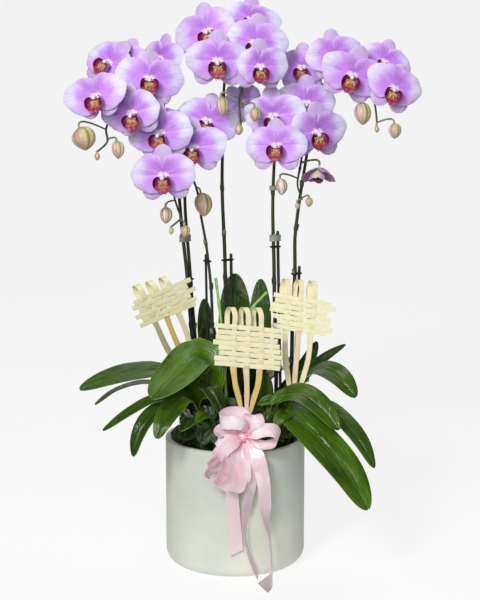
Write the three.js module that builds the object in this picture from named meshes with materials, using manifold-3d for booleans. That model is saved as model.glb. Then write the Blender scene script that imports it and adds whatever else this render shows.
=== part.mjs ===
// A potted moth orchid with six flowering stems, three woven bamboo ornaments and a satin bow.
// Millimetres. The origin is the centre of the pot's flat base, +Z is up and the front is -Y.
import * as THREE from "three";
import Module from "manifold-3d";

const wasm = await Module();
wasm.setup();
const { CrossSection, Manifold, Mesh } = wasm;

// Driving dimensions
const POT_RADIUS = 103;
const POT_HEIGHT = 190;
const POT_WALL = 8;
const POT_FOOT_RADIUS = 20;
const POT_FLOOR = 14;
const MEDIUM_TOP = 174;
const GAP = 0.3;
const STANDS_FROM = 120;
const PETAL_REACH = 45;
const PETAL_THICKNESS = 1.5;
const SEPAL_LENGTH = 42;
const SEPAL_WIDTH = 25;
const PEDICEL_RADIUS = 1.6;
const BLOOM_BACK = 8;
const COLLAR_RADIUS = 13;
const STRIP_WIDTH = 7;
const STRIP_THICKNESS = 1.3;
const RIBBON_WIDTH = 19;
const RIBBON_THICKNESS = 0.8;

const finish = (color, roughness) =>
  new THREE.MeshStandardMaterial({ color, roughness, metalness: 0 });
const CERAMIC = finish("#d9ddd6", 0.55);
const BARK = finish("#3a2a1d", 0.95);
const LEAF = finish("#2f5a1c", 0.35);
const STEM = finish("#2b3520", 0.5);
const PETAL = finish("#c79af0", 0.6);
const STAKE = finish("#23261f", 0.5);
const WIRE = finish("#15161a", 0.5);
const CLIP = finish("#c3cfc6", 0.4);
const BAMBOO = finish("#ece3b4", 0.6);
const SATIN = finish("#efcfd6", 0.4);
const SHOOT = finish("#8fbf62", 0.45);

const v = (x, y, z) => new THREE.Vector3(x, y, z);
const UP = v(0, 0, 1);
const radians = THREE.MathUtils.degToRad;
const mix = THREE.MathUtils.lerp;

// The same numbers each time, for small natural differences.
function randomFrom(seed) {
  let state = seed;
  return (low, high) => {
    state = (state * 1664525 + 1013904223) % 4294967296;
    return low + ((high - low) * state) / 4294967296;
  };
}

// Solids

function solid(points, faces) {
  const vertProperties = new Float32Array(points.flatMap((p) => [p.x, p.y, p.z]));
  return new Manifold(
    new Mesh({ numProp: 3, vertProperties, triVerts: new Uint32Array(faces.flat()) }),
  );
}

// One body of many: what the joins seal inside is filled.
function fuse(...solids) {
  const bodies = Manifold.union(solids.flat()).simplify(0.12).decompose();
  return Manifold.compose(bodies.filter((body) => body.volume() > 5));
}

function node(name, body, material) {
  const mesh = body.getMesh();
  const geometry = new THREE.BufferGeometry();
  geometry.setAttribute("position", new THREE.BufferAttribute(mesh.vertProperties, 3));
  geometry.setIndex(new THREE.BufferAttribute(mesh.triVerts, 1));
  const flat = geometry.toNonIndexed();
  flat.computeVertexNormals();
  const made = new THREE.Mesh(flat, material);
  made.name = name;
  return made;
}

// Triangles between rows of points, which may differ in number; a row of one point is a tip.
function facesBetween(rows) {
  const faces = [];
  let low = 0;
  for (let row = 0; row + 1 < rows.length; row++) {
    const high = low + rows[row].length;
    const [lows, highs] = [rows[row].length - 1, rows[row + 1].length - 1];
    let [i, j] = [0, 0];
    while (i < lows || j < highs) {
      const takesLow = j === highs || (i < lows && (i + 1) / lows <= (j + 1) / highs);
      if (takesLow) {
        faces.push([low + i, high + j, low + i + 1]);
        i++;
      } else {
        faces.push([low + i, high + j, high + j + 1]);
        j++;
      }
    }
    low = high;
  }
  return faces;
}

// A thin blade: both faces share the border and part towards the middle.
// thickAt(row, column) gives the thickness inside the border.
function blade(rows, thickAt) {
  const sheet = rows.flat();
  const faces = facesBetween(rows);
  const normals = sheet.map(() => v(0, 0, 0));
  for (const [a, b, c] of faces) {
    const across = sheet[b].clone().sub(sheet[a]);
    const normal = across.cross(sheet[c].clone().sub(sheet[a]));
    for (const corner of [a, b, c]) normals[corner].add(normal);
  }
  const thickness = rows.flatMap((row, i) =>
    row.map((_, j) => {
      const onBorder = j === 0 || j === row.length - 1 || i === 0 || i === rows.length - 1;
      return onBorder ? 0 : thickAt(i, j);
    }),
  );
  const points = sheet.map((p, i) =>
    p.clone().addScaledVector(normals[i].normalize(), thickness[i] / 2),
  );
  const under = sheet.map((p, i) => {
    if (thickness[i] === 0) return i;
    points.push(p.clone().addScaledVector(normals[i], -thickness[i] / 2));
    return points.length - 1;
  });
  const back = faces.map(([a, b, c]) => [under[a], under[c], under[b]]);
  return solid(points, faces.concat(back));
}

// A closed tube through points; its section turns as little as it can along the way.
// A radius of 0 at an end makes a point.
function tube(points, radii, sides = 5) {
  const rings = [];
  const corners = [];
  const faces = [];
  let side = null;
  points.forEach((p, i) => {
    const ahead = points[Math.min(i + 1, points.length - 1)];
    const behind = points[Math.max(i - 1, 0)];
    const along = ahead.clone().sub(behind).normalize();
    if (!side) side = Math.abs(along.z) > 0.9 ? v(1, 0, 0) : v(0, 0, 1);
    side = side.clone().addScaledVector(along, -side.dot(along)).normalize();
    const other = along.clone().cross(side);
    const ring = [];
    const count = radii[i] === 0 ? 1 : sides;
    for (let k = 0; k < count; k++) {
      const angle = (2 * Math.PI * k) / sides;
      const corner = p.clone();
      corner.addScaledVector(side, radii[i] * Math.cos(angle));
      corner.addScaledVector(other, radii[i] * Math.sin(angle));
      ring.push(corners.push(corner) - 1);
    }
    rings.push(ring);
  });
  for (let i = 0; i + 1 < rings.length; i++) {
    const [low, high] = [rings[i], rings[i + 1]];
    for (let k = 0; k < sides; k++) {
      const n = (k + 1) % sides;
      if (low.length === 1) faces.push([low[0], high[n], high[k]]);
      else if (high.length === 1) faces.push([low[k], low[n], high[0]]);
      else faces.push([low[k], low[n], high[n]], [low[k], high[n], high[k]]);
    }
  }
  const [first, last] = [rings[0], rings[rings.length - 1]];
  for (let k = 1; k + 1 < first.length; k++) faces.push([first[0], first[k + 1], first[k]]);
  for (let k = 1; k + 1 < last.length; k++) faces.push([last[0], last[k], last[k + 1]]);
  return solid(corners, faces);
}

// A flat strip through points; across(i) is the direction of its width, and width(i) its size.
function strip(points, across, width, thickness) {
  const corners = [];
  const faces = [];
  points.forEach((p, i) => {
    const ahead = points[Math.min(i + 1, points.length - 1)];
    const behind = points[Math.max(i - 1, 0)];
    const along = ahead.clone().sub(behind).normalize();
    const wide = across(i).clone();
    wide.addScaledVector(along, -wide.dot(along)).normalize();
    const face = along.clone().cross(wide);
    for (const [a, b] of [[-1, -1], [1, -1], [1, 1], [-1, 1]]) {
      const corner = p.clone();
      corner.addScaledVector(wide, (a * width(i)) / 2);
      corner.addScaledVector(face, (b * thickness) / 2);
      corners.push(corner);
    }
    if (i === 0) return;
    const base = 4 * (i - 1);
    for (let k = 0; k < 4; k++) {
      const n = (k + 1) % 4;
      faces.push([base + k, base + n, base + 4 + n], [base + k, base + 4 + n, base + 4 + k]);
    }
  });
  const end = corners.length - 4;
  faces.push([0, 2, 1], [0, 3, 2], [end, end + 1, end + 2], [end, end + 2, end + 3]);
  return solid(corners, faces);
}

const curveThrough = (points) => new THREE.CatmullRomCurve3(points, false, "centripetal");
const asPoints = (list) => list.map(([x, y, z]) => v(x, y, z));

function rod(from, to, radius, sides = 6) {
  return tube([from, to], [radius, radius], sides);
}

// Pot and medium

function pot() {
  const outline = [[0, 0], [POT_RADIUS - POT_FOOT_RADIUS, 0]];
  for (const degrees of [30, 60, 90]) {
    const angle = radians(degrees);
    outline.push([
      POT_RADIUS - POT_FOOT_RADIUS * (1 - Math.sin(angle)),
      POT_FOOT_RADIUS * (1 - Math.cos(angle)),
    ]);
  }
  const inner = POT_RADIUS - POT_WALL;
  outline.push([POT_RADIUS, POT_HEIGHT - 2.5], [POT_RADIUS - 2.5, POT_HEIGHT]);
  outline.push([inner + 2, POT_HEIGHT], [inner, POT_HEIGHT - 2.5]);
  outline.push([inner, POT_FLOOR], [0, POT_FLOOR]);
  return Manifold.revolve(new CrossSection([outline]), 32);
}

// The bark fills the pot; its top is lumpy and has a plain hole for each thing that stands in it.
function medium(standing) {
  const random = randomFrom(41);
  const edge = POT_RADIUS - POT_WALL - GAP;
  const sides = 16;
  const circle = (radius, z, rough) =>
    Array.from({ length: sides }, (_, k) => {
      const angle = (2 * Math.PI * k) / sides;
      return v(radius * Math.cos(angle), radius * Math.sin(angle), z + random(-rough, rough));
    });
  const rings = [
    circle(edge, POT_FLOOR + GAP, 0),
    circle(edge, MEDIUM_TOP - 6, 2),
    circle(edge * 0.55, MEDIUM_TOP, 4),
  ];
  const points = rings.flat();
  const under = points.push(v(0, 0, POT_FLOOR + GAP)) - 1;
  const top = points.push(v(0, 0, MEDIUM_TOP + 1)) - 1;
  const faces = [];
  for (let k = 0; k < sides; k++) {
    const n = (k + 1) % sides;
    for (let i = 0; i + 1 < rings.length; i++) {
      const [low, high] = [i * sides, (i + 1) * sides];
      faces.push([low + k, low + n, high + n], [low + k, high + n, high + k]);
    }
    faces.push([under, n, k]);
    faces.push([top, (rings.length - 1) * sides + k, (rings.length - 1) * sides + n]);
  }
  const holes = standing.map(({ from, to, radius, sides: count = 6 }) => {
    const along = to.clone().sub(from).normalize();
    const start = from.clone().addScaledVector(along, -GAP);
    const end = start.clone().addScaledVector(along, 110);
    return rod(start, end, (radius + GAP) / Math.cos(Math.PI / count), count);
  });
  return solid(points, faces).subtract(Manifold.union(holes));
}

// Leaves

// Half the width of a leaf along its length, as a share of its widest.
function leafWidth(t) {
  if (t < 0.6) return 0.36 + 0.64 * Math.sin((Math.PI / 2) * (t / 0.6));
  return Math.sqrt(1 - ((t - 0.6) / 0.4) ** 2.2);
}

// spine: points from the root to the tip; face: where the upper side looks.
function leaf({ spine, width, face = [0, 0, 1], keel = 0.2, stations = 6, columns = 5 }) {
  const curve = curveThrough(asPoints(spine));
  const looks = v(...face).normalize();
  const rows = [[curve.getPointAt(0)]];
  for (let i = 1; i < stations; i++) {
    const t = Math.sin((Math.PI / 2) * (i / stations));
    const at = curve.getPointAt(t);
    const along = curve.getTangentAt(t);
    const side = along.clone().cross(looks).normalize();
    const normal = side.clone().cross(along);
    const half = (width / 2) * leafWidth(t);
    const row = [];
    for (let j = 0; j < columns; j++) {
      const s = (2 * j) / (columns - 1) - 1;
      const rise = keel * half * Math.abs(s) ** 0.8;
      row.push(at.clone().addScaledVector(side, half * s).addScaledVector(normal, rise));
    }
    rows.push(row);
  }
  rows.push([curve.getPointAt(1)]);
  const middle = (columns - 1) / 2;
  return blade(rows, (i, j) => 2.6 - (Math.abs(j - middle) / middle) * 1.2);
}

const PLANTS = {
  plant_left: {
    collar: [-46, -46],
    leaves: [
      { spine: [[-46, -46, 190], [-42, -48, 262], [-40, -52, 306], [-54, -66, 323],
        [-84, -108, 304], [-115, -148, 280]], width: 64, face: [-0.25, -0.75, 0.7], stations: 7 },
      { spine: [[-48, -44, 190], [-70, -46, 260], [-108, -60, 299], [-142, -80, 302],
        [-178, -95, 296], [-219, -108, 284]], width: 46, face: [-0.1, -0.45, 1], stations: 6 },
      { spine: [[-50, -40, 190], [-82, -50, 255], [-122, -64, 283], [-168, -74, 276],
        [-200, -82, 256]], width: 26, face: [0.2, 0.5, 1], stations: 5 },
      { spine: [[-50, -48, 190], [-78, -66, 252], [-107, -86, 266], [-149, -104, 250],
        [-186, -118, 227]], width: 27, face: [-0.1, -0.2, 1], stations: 6, columns: 3 },
      { spine: [[-48, -50, 190], [-72, -78, 250], [-100, -102, 258], [-122, -120, 244],
        [-136, -130, 220], [-143, -134, 194]], width: 34, face: [-0.5, -0.5, 0.6] },
      { spine: [[-46, -52, 190], [-56, -78, 250], [-72, -98, 272], [-90, -120, 258],
        [-102, -136, 240], [-109, -143, 222]], width: 34, face: [0.1, -0.5, 1] },
      { spine: [[-42, -50, 190], [-46, -64, 250], [-40, -78, 280], [-27, -88, 266], [-18, -93, 244]],
        width: 36, face: [0.5, -0.5, 0.8], stations: 5, columns: 3 },
      { spine: [[-38, -48, 190], [-24, -54, 232], [-6, -58, 250], [6, -59, 244]],
        width: 26, face: [0, -0.7, 0.7], stations: 4, columns: 3 },
      { spine: [[-44, -52, 190], [-50, -80, 226], [-62, -104, 238], [-76, -118, 226]],
        width: 26, face: [0, -0.3, 1], stations: 4, columns: 3 },
      { spine: [[-42, -52, 190], [-36, -78, 232], [-44, -100, 246], [-56, -112, 238]],
        width: 20, face: [0.2, -0.5, 1], stations: 4, columns: 3 },
    ],
  },
  plant_back: {
    collar: [10, 44],
    leaves: [
      { spine: [[8, 46, 186], [2, 52, 280], [0, 56, 360], [-1, 62, 422]],
        width: 52, face: [0, -1, 0.15], stations: 7 },
      { spine: [[14, 44, 186], [30, 46, 280], [37, 52, 360], [38, 60, 414]],
        width: 36, face: [0.1, -1, 0.15], stations: 6 },
      { spine: [[4, 42, 186], [-22, 34, 260], [-40, 26, 330], [-46, 26, 390]],
        width: 30, face: [-0.2, -1, 0.2], stations: 5, columns: 3 },
      { spine: [[16, 42, 186], [26, 22, 244], [31, 4, 280], [33, -6, 304]],
        width: 40, face: [0, -1, 0.5], stations: 5, columns: 3 },
      { spine: [[4, 40, 186], [-24, 24, 250], [-44, 14, 316], [-40, 14, 362]],
        width: 28, face: [0.2, -1, 0.2], stations: 5, columns: 3 },
      { spine: [[16, 40, 186], [70, 36, 240], [106, 30, 290], [122, 32, 324]],
        width: 26, face: [-0.3, -1, 0.4], stations: 6, columns: 3 },
      { spine: [[8, 50, 186], [-10, 80, 262], [-38, 118, 274], [-72, 156, 236]],
        width: 48, face: [-0.1, 0.3, 1], stations: 6 },
      { spine: [[14, 50, 186], [40, 78, 250], [74, 108, 268], [112, 138, 238]],
        width: 46, face: [0.1, 0.3, 1], stations: 6 },
    ],
  },
  plant_right: {
    collar: [60, -30],
    leaves: [
      { spine: [[58, -34, 190], [62, -54, 246], [88, -80, 236], [121, -104, 208],
        [160, -128, 166], [188, -140, 118]], width: 56, face: [0.3, -0.7, 0.6], stations: 7 },
      { spine: [[60, -34, 190], [66, -68, 262], [92, -88, 274], [122, -104, 257],
        [147, -118, 228]], width: 42, face: [0.1, -0.6, 1], stations: 6 },
      { spine: [[66, -24, 190], [98, -20, 236], [126, -44, 246], [158, -72, 226],
        [182, -92, 200], [199, -102, 168]], width: 36, face: [0.3, -0.5, 1], columns: 3 },
      { spine: [[66, -24, 190], [92, -14, 266], [123, -41, 297], [150, -71, 291],
        [172, -88, 268]], width: 46, face: [0.1, -0.5, 1], stations: 6 },
      { spine: [[66, -20, 190], [92, -8, 266], [126, -12, 304], [161, -18, 330]],
        width: 24, face: [-0.3, -0.6, 1], stations: 6, columns: 3 },
      { spine: [[52, -36, 190], [44, -52, 236], [46, -58, 276], [42, -60, 300]],
        width: 20, face: [0, -1, 0.2], stations: 5, columns: 3 },
      { spine: [[56, -36, 190], [60, -62, 236], [52, -72, 260], [32, -74, 254]],
        width: 19, face: [0, -0.8, 1], stations: 4, columns: 3 },
      { spine: [[60, -38, 190], [72, -60, 244], [76, -70, 268], [64, -79, 268], [50, -84, 256]],
        width: 20, face: [-0.2, -0.8, 1], stations: 5, columns: 3 },
      { spine: [[58, -38, 190], [64, -66, 226], [73, -82, 242], [64, -90, 239], [56, -94, 228]],
        width: 22, face: [0, -0.8, 1], stations: 5, columns: 3 },
    ],
  },
};

function plant({ collar: [x, y], leaves }) {
  const stem = rod(v(x, y, STANDS_FROM), v(x, y, 198), COLLAR_RADIUS, 8);
  return fuse(stem, leaves.map(leaf));
}

// Spikes: each route runs from the bark to the last bud. A bud hangs from the route's nearest point.
const SPIKES = {
  spike_left: {
    radius: [3.2, 1.4],
    route: [[-60, -8, 120], [-61, -9, 250], [-63, -10, 340], [-68, -14, 412], [-75, -18, 487],
      [-80, -24, 550], [-88, -33, 620], [-96, -42, 665], [-107, -52, 690], [-124, -60, 700],
      [-144, -66, 694], [-160, -72, 682], [-172, -78, 664], [-178, -84, 648], [-176, -92, 632],
      [-188, -100, 620]],
    buds: [[-209, -112, 639, 34, 33, 0.3], [-162, -100, 623, 18, 26, 0.1], [-190, -103, 613, 8, 11, 0]],
  },
  spike_middle: {
    radius: [3, 1.3],
    route: [[-54, 4, 120], [-56, 2, 250], [-59, 0, 340], [-64, -4, 410], [-69, -9, 486],
      [-72, -16, 549], [-70, -26, 608], [-72, -36, 646], [-80, -46, 658], [-90, -54, 645],
      [-94, -62, 618], [-91, -70, 584], [-85, -78, 555], [-79, -84, 536], [-75, -87, 525],
      [-80, -89, 520], [-88, -91, 514]],
    buds: [[-97, -86, 530, 18, 24, 0], [-70, -93, 508, 14, 18, 0], [-89, -93, 508, 7, 10, 0]],
  },
  spike_slender: {
    radius: [2.6, 1.4],
    route: [[-33, -28, 120], [-32, -29, 292], [-33, -31, 354], [-34, -34, 414], [-39, -38, 460],
      [-43, -41, 492], [-48, -44, 523], [-51, -46, 548], [-56, -47, 566], [-62, -46, 582],
      [-62, -44, 598], [-56, -42, 618], [-46, -38, 638]],
    buds: [[-46, -66, 543, 26, 34, 0.15]],
  },
  spike_top: {
    radius: [3.2, 1.3],
    route: [[-11, 10, 120], [-10, 10, 331], [-13, 8, 391], [-15, 5, 453], [-18, 2, 540],
      [-18, 0, 620], [-16, -3, 690], [-12, -6, 730], [-6, -12, 750], [4, -20, 757], [14, -32, 752],
      [17, -44, 738], [14, -56, 716], [9, -74, 700], [6, -90, 685], [8, -96, 668],
      [9, -97, 651]],
    buds: [[-18, -90, 682, 18, 28, 0.1], [27, -112, 672, 16, 21, 0], [5, -98, 650, 12, 16, 0]],
  },
  spike_centre: {
    radius: [3.2, 1.3],
    route: [[62, 10, 120], [61, 9, 250], [60, 8, 324], [58, 6, 392], [55, 0, 518], [56, -6, 594],
      [58, -14, 640], [64, -24, 674], [76, -34, 690], [90, -42, 682], [97, -50, 658],
      [96, -60, 628], [92, -68, 596], [88, -76, 570], [94, -82, 551]],
    buds: [[64, -86, 570, 17, 24, 0.1], [103, -86, 548, 11, 14, 0], [87, -84, 542, 7, 9, 0]],
  },
  spike_right: {
    radius: [3.2, 1.3],
    route: [[80, 10, 120], [83, 6, 300], [85, 5, 377], [87, 4, 432], [87, 2, 483], [90, 0, 511],
      [98, -7, 575], [106, -16, 628], [114, -26, 671], [122, -34, 700], [138, -42, 718],
      [160, -50, 724], [180, -58, 714], [192, -68, 694], [196, -78, 672], [197, -84, 658]],
    buds: [[175, -88, 672, 24, 32, 0.1], [220, -92, 648, 18, 22, 0], [196, -88, 649, 7, 9, 0]],
  },
};

// Where a bloom looks: azimuth 0 is the front, and more turns it to the right; roll is
// anticlockwise as seen from the front of the bloom. wide stretches the left and the right petal
// sideways, and swing raises their tips by degrees. low is how much the petals narrow downwards,
// and sepals is the length of the top, left and right one, as a share of the full length.
// A half-open bloom is cupped, and hood bends its top sepal further over its face.
const BLOOMS = {
  bloom_left_1: {
    at: [-186, -145, 697], azimuth: -18, elevation: 8, roll: 13,
    wide: [1.03, 0.95], swing: [0, 4], low: 0.5, sepals: [0.66, 0.78, 0.78],
  },
  bloom_left_2: {
    at: [-175, -58, 738], azimuth: -28, elevation: 24, roll: -26, size: 0.95,
    wide: [0.95, 0.85],
  },
  bloom_left_3: {
    at: [-118, -94, 718], azimuth: 10, elevation: 10, roll: -6,
    wide: [1.05, 1.12], swing: [3, 3],
  },
  bloom_left_4: {
    at: [-139, -126, 674], azimuth: -16, elevation: -6, roll: 13,
    wide: [0.99, 0.86], low: 0.46, sepals: [1, 0.85, 0.9],
  },
  bloom_left_5: {
    at: [-104, -34, 744], azimuth: -42, elevation: 8, roll: -4, size: 0.86,
    wide: [0.9, 1.05],
  },
  bloom_left_6: { at: [-154, -43, 742], azimuth: -14, elevation: 16, roll: -20, size: 0.82 },
  bloom_left_7: { at: [-107, -73, 668], azimuth: 0, elevation: -66, roll: 0, size: 0.7 },
  bloom_middle_1: {
    at: [-103, -104, 645], azimuth: -16, elevation: -4, roll: 5,
    wide: [1.06, 1.06],
  },
  bloom_middle_2: { at: [-97, -134, 590], azimuth: -9, elevation: -3, roll: 4 },
  bloom_middle_3: {
    at: [-57, -85, 624], azimuth: -14, elevation: -3, roll: 3, size: 0.97,
    wide: [1, 1.1],
  },
  bloom_middle_4: {
    at: [-39, -58, 658], azimuth: 0, elevation: 2, roll: -16, size: 0.95,
    wide: [1, 1.08],
  },
  bloom_top_1: { at: [-23, -94, 743], azimuth: -2, elevation: -4, roll: 0, wide: [0.98, 0.88] },
  bloom_top_2: {
    at: [34, -112, 736], azimuth: 10, elevation: -6, roll: -2, size: 0.9,
    wide: [0.74, 0.98],
  },
  bloom_top_3: {
    at: [-37, -57, 782], azimuth: -16, elevation: 6, roll: 15,
    wide: [1.14, 0.88], swing: [-4, 4],
  },
  bloom_top_4: { at: [27, -74, 766], azimuth: 4, elevation: 2, roll: -8, wide: [0.9, 1.05] },
  bloom_top_5: {
    at: [20, -34, 797], azimuth: 14, elevation: 14, roll: -15, size: 0.88,
    wide: [0.9, 1.18],
  },
  bloom_top_6: { at: [11, -42, 684], azimuth: 168, elevation: 20, roll: -36, size: 0.72 },
  bloom_right_1: { at: [160, -104, 724], azimuth: 2, elevation: -3, roll: -18 },
  bloom_right_2: {
    at: [216, -122, 706], azimuth: 6, elevation: 6, roll: -22, size: 0.95,
    wide: [1, 0.88], swing: [16, 14], low: 0.46, sepals: [0.9, 0.85, 0.85],
  },
  bloom_right_3: { at: [94, -36, 731], azimuth: -8, elevation: 4, roll: 0, size: 0.85 },
  bloom_right_4: { at: [137, -74, 750], azimuth: 6, elevation: 6, roll: 8, size: 0.88 },
  bloom_right_5: { at: [206, -72, 740], azimuth: 8, elevation: 12, roll: -22, size: 0.83 },
  bloom_centre_1: { at: [57, -114, 628], azimuth: -10, elevation: 12, roll: 2, size: 0.95 },
  bloom_centre_2: { at: [53, -86, 667], azimuth: -6, elevation: -2, roll: 6, wide: [0.9, 1.02] },
  bloom_centre_3: { at: [113, -98, 646], azimuth: 16, elevation: -4, roll: 2, wide: [0.88, 0.98] },
  bloom_centre_4: { at: [99, -64, 683], azimuth: 4, elevation: 4, roll: -2, size: 0.96 },
  bloom_centre_5: {
    at: [118, -66, 592], azimuth: -12, elevation: -60, roll: 4,
    size: 0.66, cup: 0.02, hood: 0.05, wide: [0.8, 0.8], sepals: [0.52, 0.8, 0.8],
  },
};

const spikeOf = (bloom) => "spike_" + bloom.split("_")[1];
const CARRIED_BY = { bloom_middle_3: "spike_slender", bloom_middle_4: "spike_slender" };

function turnOf({ azimuth, elevation, roll }) {
  const yaw = new THREE.Quaternion().setFromAxisAngle(UP, radians(azimuth));
  const pitch = new THREE.Quaternion().setFromAxisAngle(v(1, 0, 0), radians(90 - elevation));
  const spin = new THREE.Quaternion().setFromAxisAngle(UP, radians(roll));
  return yaw.multiply(pitch).multiply(spin);
}

function bud(top, centre, width, length) {
  const axis = centre.clone().sub(top).normalize();
  const start = centre.clone().addScaledVector(axis, -length / 2);
  const shares = [[0, 0], [0.2, 0.82], [0.5, 1], [0.82, 0.6], [1, 0]];
  const points = shares.map(([t]) => start.clone().addScaledVector(axis, length * t));
  return tube(points, shares.map(([, r]) => (r * width) / 2), 5);
}

// The point of a route that is nearest to a target.
function nearest(route, target) {
  const points = route.slice(1).map((end, i) =>
    new THREE.Line3(route[i], end).closestPointToPoint(target, true, v(0, 0, 0)),
  );
  return points.reduce((a, b) => (b.distanceTo(target) < a.distanceTo(target) ? b : a));
}

// A stalk that leaves its root straight for its end and arrives along a direction.
function stalk(from, to, arriving, radius) {
  const reach = from.distanceTo(to);
  const straight = to.clone().addScaledVector(arriving, -2.5);
  const bend = new THREE.QuadraticBezierCurve3(
    from,
    straight.clone().addScaledVector(arriving, -reach * 0.4),
    straight,
  );
  return tube([...bend.getPoints(2), to], Array(4).fill(radius), 3);
}

function spike(name) {
  const { radius, buds } = SPIKES[name];
  const route = asPoints(SPIKES[name].route);
  const radii = route.map((_, i) => mix(...radius, (i / (route.length - 1)) ** 1.5));
  const parts = [tube(route, radii, 4)];
  for (const [x, y, z, width, length, lean] of buds) {
    const centre = v(x, y, z);
    const root = nearest(route, centre.clone().add(v(0, 0, length * 0.7)));
    const hang = v(lean, -0.25, -1).normalize();
    const top = centre.clone().addScaledVector(hang, -length * 0.45);
    parts.push(stalk(root, top, hang, PEDICEL_RADIUS * 0.8));
    parts.push(bud(top, centre, width, length));
  }
  for (const [bloom, pose] of Object.entries(BLOOMS)) {
    if ((CARRIED_BY[bloom] ?? spikeOf(bloom)) !== name) continue;
    const looks = UP.clone().applyQuaternion(turnOf(pose));
    const behind = BLOOM_BACK * (pose.size ?? 1) + GAP;
    const back = v(...pose.at).addScaledVector(looks, -behind);
    parts.push(stalk(nearest(route, back), back, looks, PEDICEL_RADIUS));
  }
  return fuse(parts);
}

// A bloom faces +Z and its top is +Y: two broad petals in front of three sepals, and the lip.

function petalReach(phi, low) {
  const narrow = phi > 0 ? 0.38 : low;
  return PETAL_REACH * (1 - narrow * Math.sin(radians(phi)) ** 2) * (1 - (Math.abs(phi) / 96) ** 9);
}

function petal(hand, cup, low, wide, swing) {
  const spread = 84;
  const rise = 4;
  const [c, s] = [Math.cos(radians(swing)), Math.sin(radians(swing))];
  const bowl = (x, y, z) => v(hand * x, y, z + cup * (x * x + y * y));
  const ring = (share, columns) =>
    Array.from({ length: columns + 1 }, (_, k) => {
      const phi = hand * mix(-spread, spread, k / columns);
      const reach = petalReach(phi, low) * share;
      const x = reach * Math.cos(radians(phi + rise)) * wide;
      const y = reach * Math.sin(radians(phi + rise));
      return bowl(1.6 + x * c - y * s, 0.6 + x * s + y * c, 1.4);
    });
  const rows = [[bowl(0.8, 0.4, 1.4)], ring(0.55, 3), ring(1, 7)];
  return blade(rows, () => PETAL_THICKNESS);
}

// degrees: the way that the sepal points, from +X towards +Y.
function sepal(degrees, cup, length) {
  const angle = radians(degrees);
  const out = v(Math.cos(angle), Math.sin(angle), 0);
  const side = v(-Math.sin(angle), Math.cos(angle), 0);
  const at = (reach, half) => {
    const p = out.clone().multiplyScalar(reach).addScaledVector(side, half);
    return v(p.x, p.y, -3 + cup * (p.x * p.x + p.y * p.y));
  };
  const rows = [[at(1, 0)]];
  const half = SEPAL_WIDTH / 2;
  for (const t of [0.45, 0.82]) {
    rows.push([at(length * t, -half), at(length * t, 0), at(length * t, half)]);
  }
  rows.push([at(length, 0)]);
  return blade(rows, () => PETAL_THICKNESS);
}

// The lip is one blade with three lobes: an ear raised on each side, and a pointed tongue.
function lip() {
  const row = (half, y, z, ear) => [
    ...(ear ? [v(ear[0], ear[1], ear[2])] : []),
    v(half, y, z),
    v(0, y - 0.6, z - 1.4),
    v(-half, y, z),
    ...(ear ? [v(-ear[0], ear[1], ear[2])] : []),
  ];
  const rows = [
    [v(0, -1, 2.5)],
    row(3.6, -5, 6, [9.5, -2.5, 12.5]),
    row(4.4, -10, 7.2, [13, -9.5, 15.5]),
    row(4.2, -15.5, 8.4, [10.5, -18, 14]),
    row(7.8, -20.5, 10.4),
    [v(0, -27, 12)],
  ];
  return blade(rows, () => 1.8);
}

function bloom(data) {
  const { cup = -0.002, hood = 0, low = 0.4, wide = [1, 1], swing = [0, 0], sepals = [1, 1, 1] } = data;
  const column = tube([v(0, 0, -BLOOM_BACK), v(0, 0, 0), v(0, -1.5, 10.5)], [1.8, 3.6, 2.9], 4);
  const petals = [-1, 1].map((hand, i) => petal(hand, cup, low, wide[i], swing[i]));
  const bends = [cup + hood, cup, cup];
  const behind = [90, 227, 313].map((way, i) => sepal(way, bends[i], SEPAL_LENGTH * sepals[i]));
  return fuse(column, petals, behind, lip());
}

// Stakes, ties and clips

const STAKES = {
  stake_slender: { from: [-37, -20, STANDS_FROM], to: [-42, -32, 464], radius: 1.8 },
  stake_top: { from: [-1, 16, STANDS_FROM], to: [-6, 11, 458], radius: 2.2 },
  stake_centre: { from: [70, 12, STANDS_FROM], to: [62, 6, 492], radius: 2.2 },
  stake_right: { from: [83, 20, STANDS_FROM], to: [94, 9, 440], radius: 2.2 },
};

// What each band holds together, and at what height.
const TIES = {
  tie_left: { holds: ["spike_left", "spike_middle"], at: 425 },
  tie_slender: { holds: ["spike_slender", "stake_slender"], at: 456 },
  tie_top: { holds: ["spike_top", "stake_top"], at: 451 },
  tie_centre: { holds: ["spike_centre", "stake_centre"], at: 471 },
  tie_right: { holds: ["spike_right", "stake_right"], at: 431 },
};
const CLIPS = {
  clip_left: { holds: ["spike_left", "spike_middle"], at: 486, height: 9 },
  clip_centre: { holds: ["spike_centre", "stake_centre"], at: 484, height: 9 },
  clip_small: { holds: ["spike_centre"], at: 558, height: 6 },
};

// Where a spike or a stake passes a height, with its radius there.
function passing(name, height) {
  const { from, to, route, radius } = SPIKES[name] ?? STAKES[name];
  const points = asPoints(route ?? [from, to]);
  const next = points.findIndex((p) => p.z >= height);
  const share = (height - points[next - 1].z) / (points[next].z - points[next - 1].z);
  const { x, y } = points[next - 1].clone().lerp(points[next], share);
  return { x, y, radius: route ? radius[0] : radius };
}

// A closed band round one or two rods; height is its size along them.
function band({ holds, at, height = 1.6, wall = 0.9 }) {
  const ring = (grow) =>
    CrossSection.hull(
      holds.map((name) => {
        const { x, y, radius } = passing(name, at);
        return CrossSection.circle(radius + grow, 6).translate([x, y]);
      }),
    );
  const clear = GAP + 1.1;
  return ring(clear + wall)
    .subtract(ring(clear))
    .extrude(height)
    .translate([0, 0, at - height / 2]);
}

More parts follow.
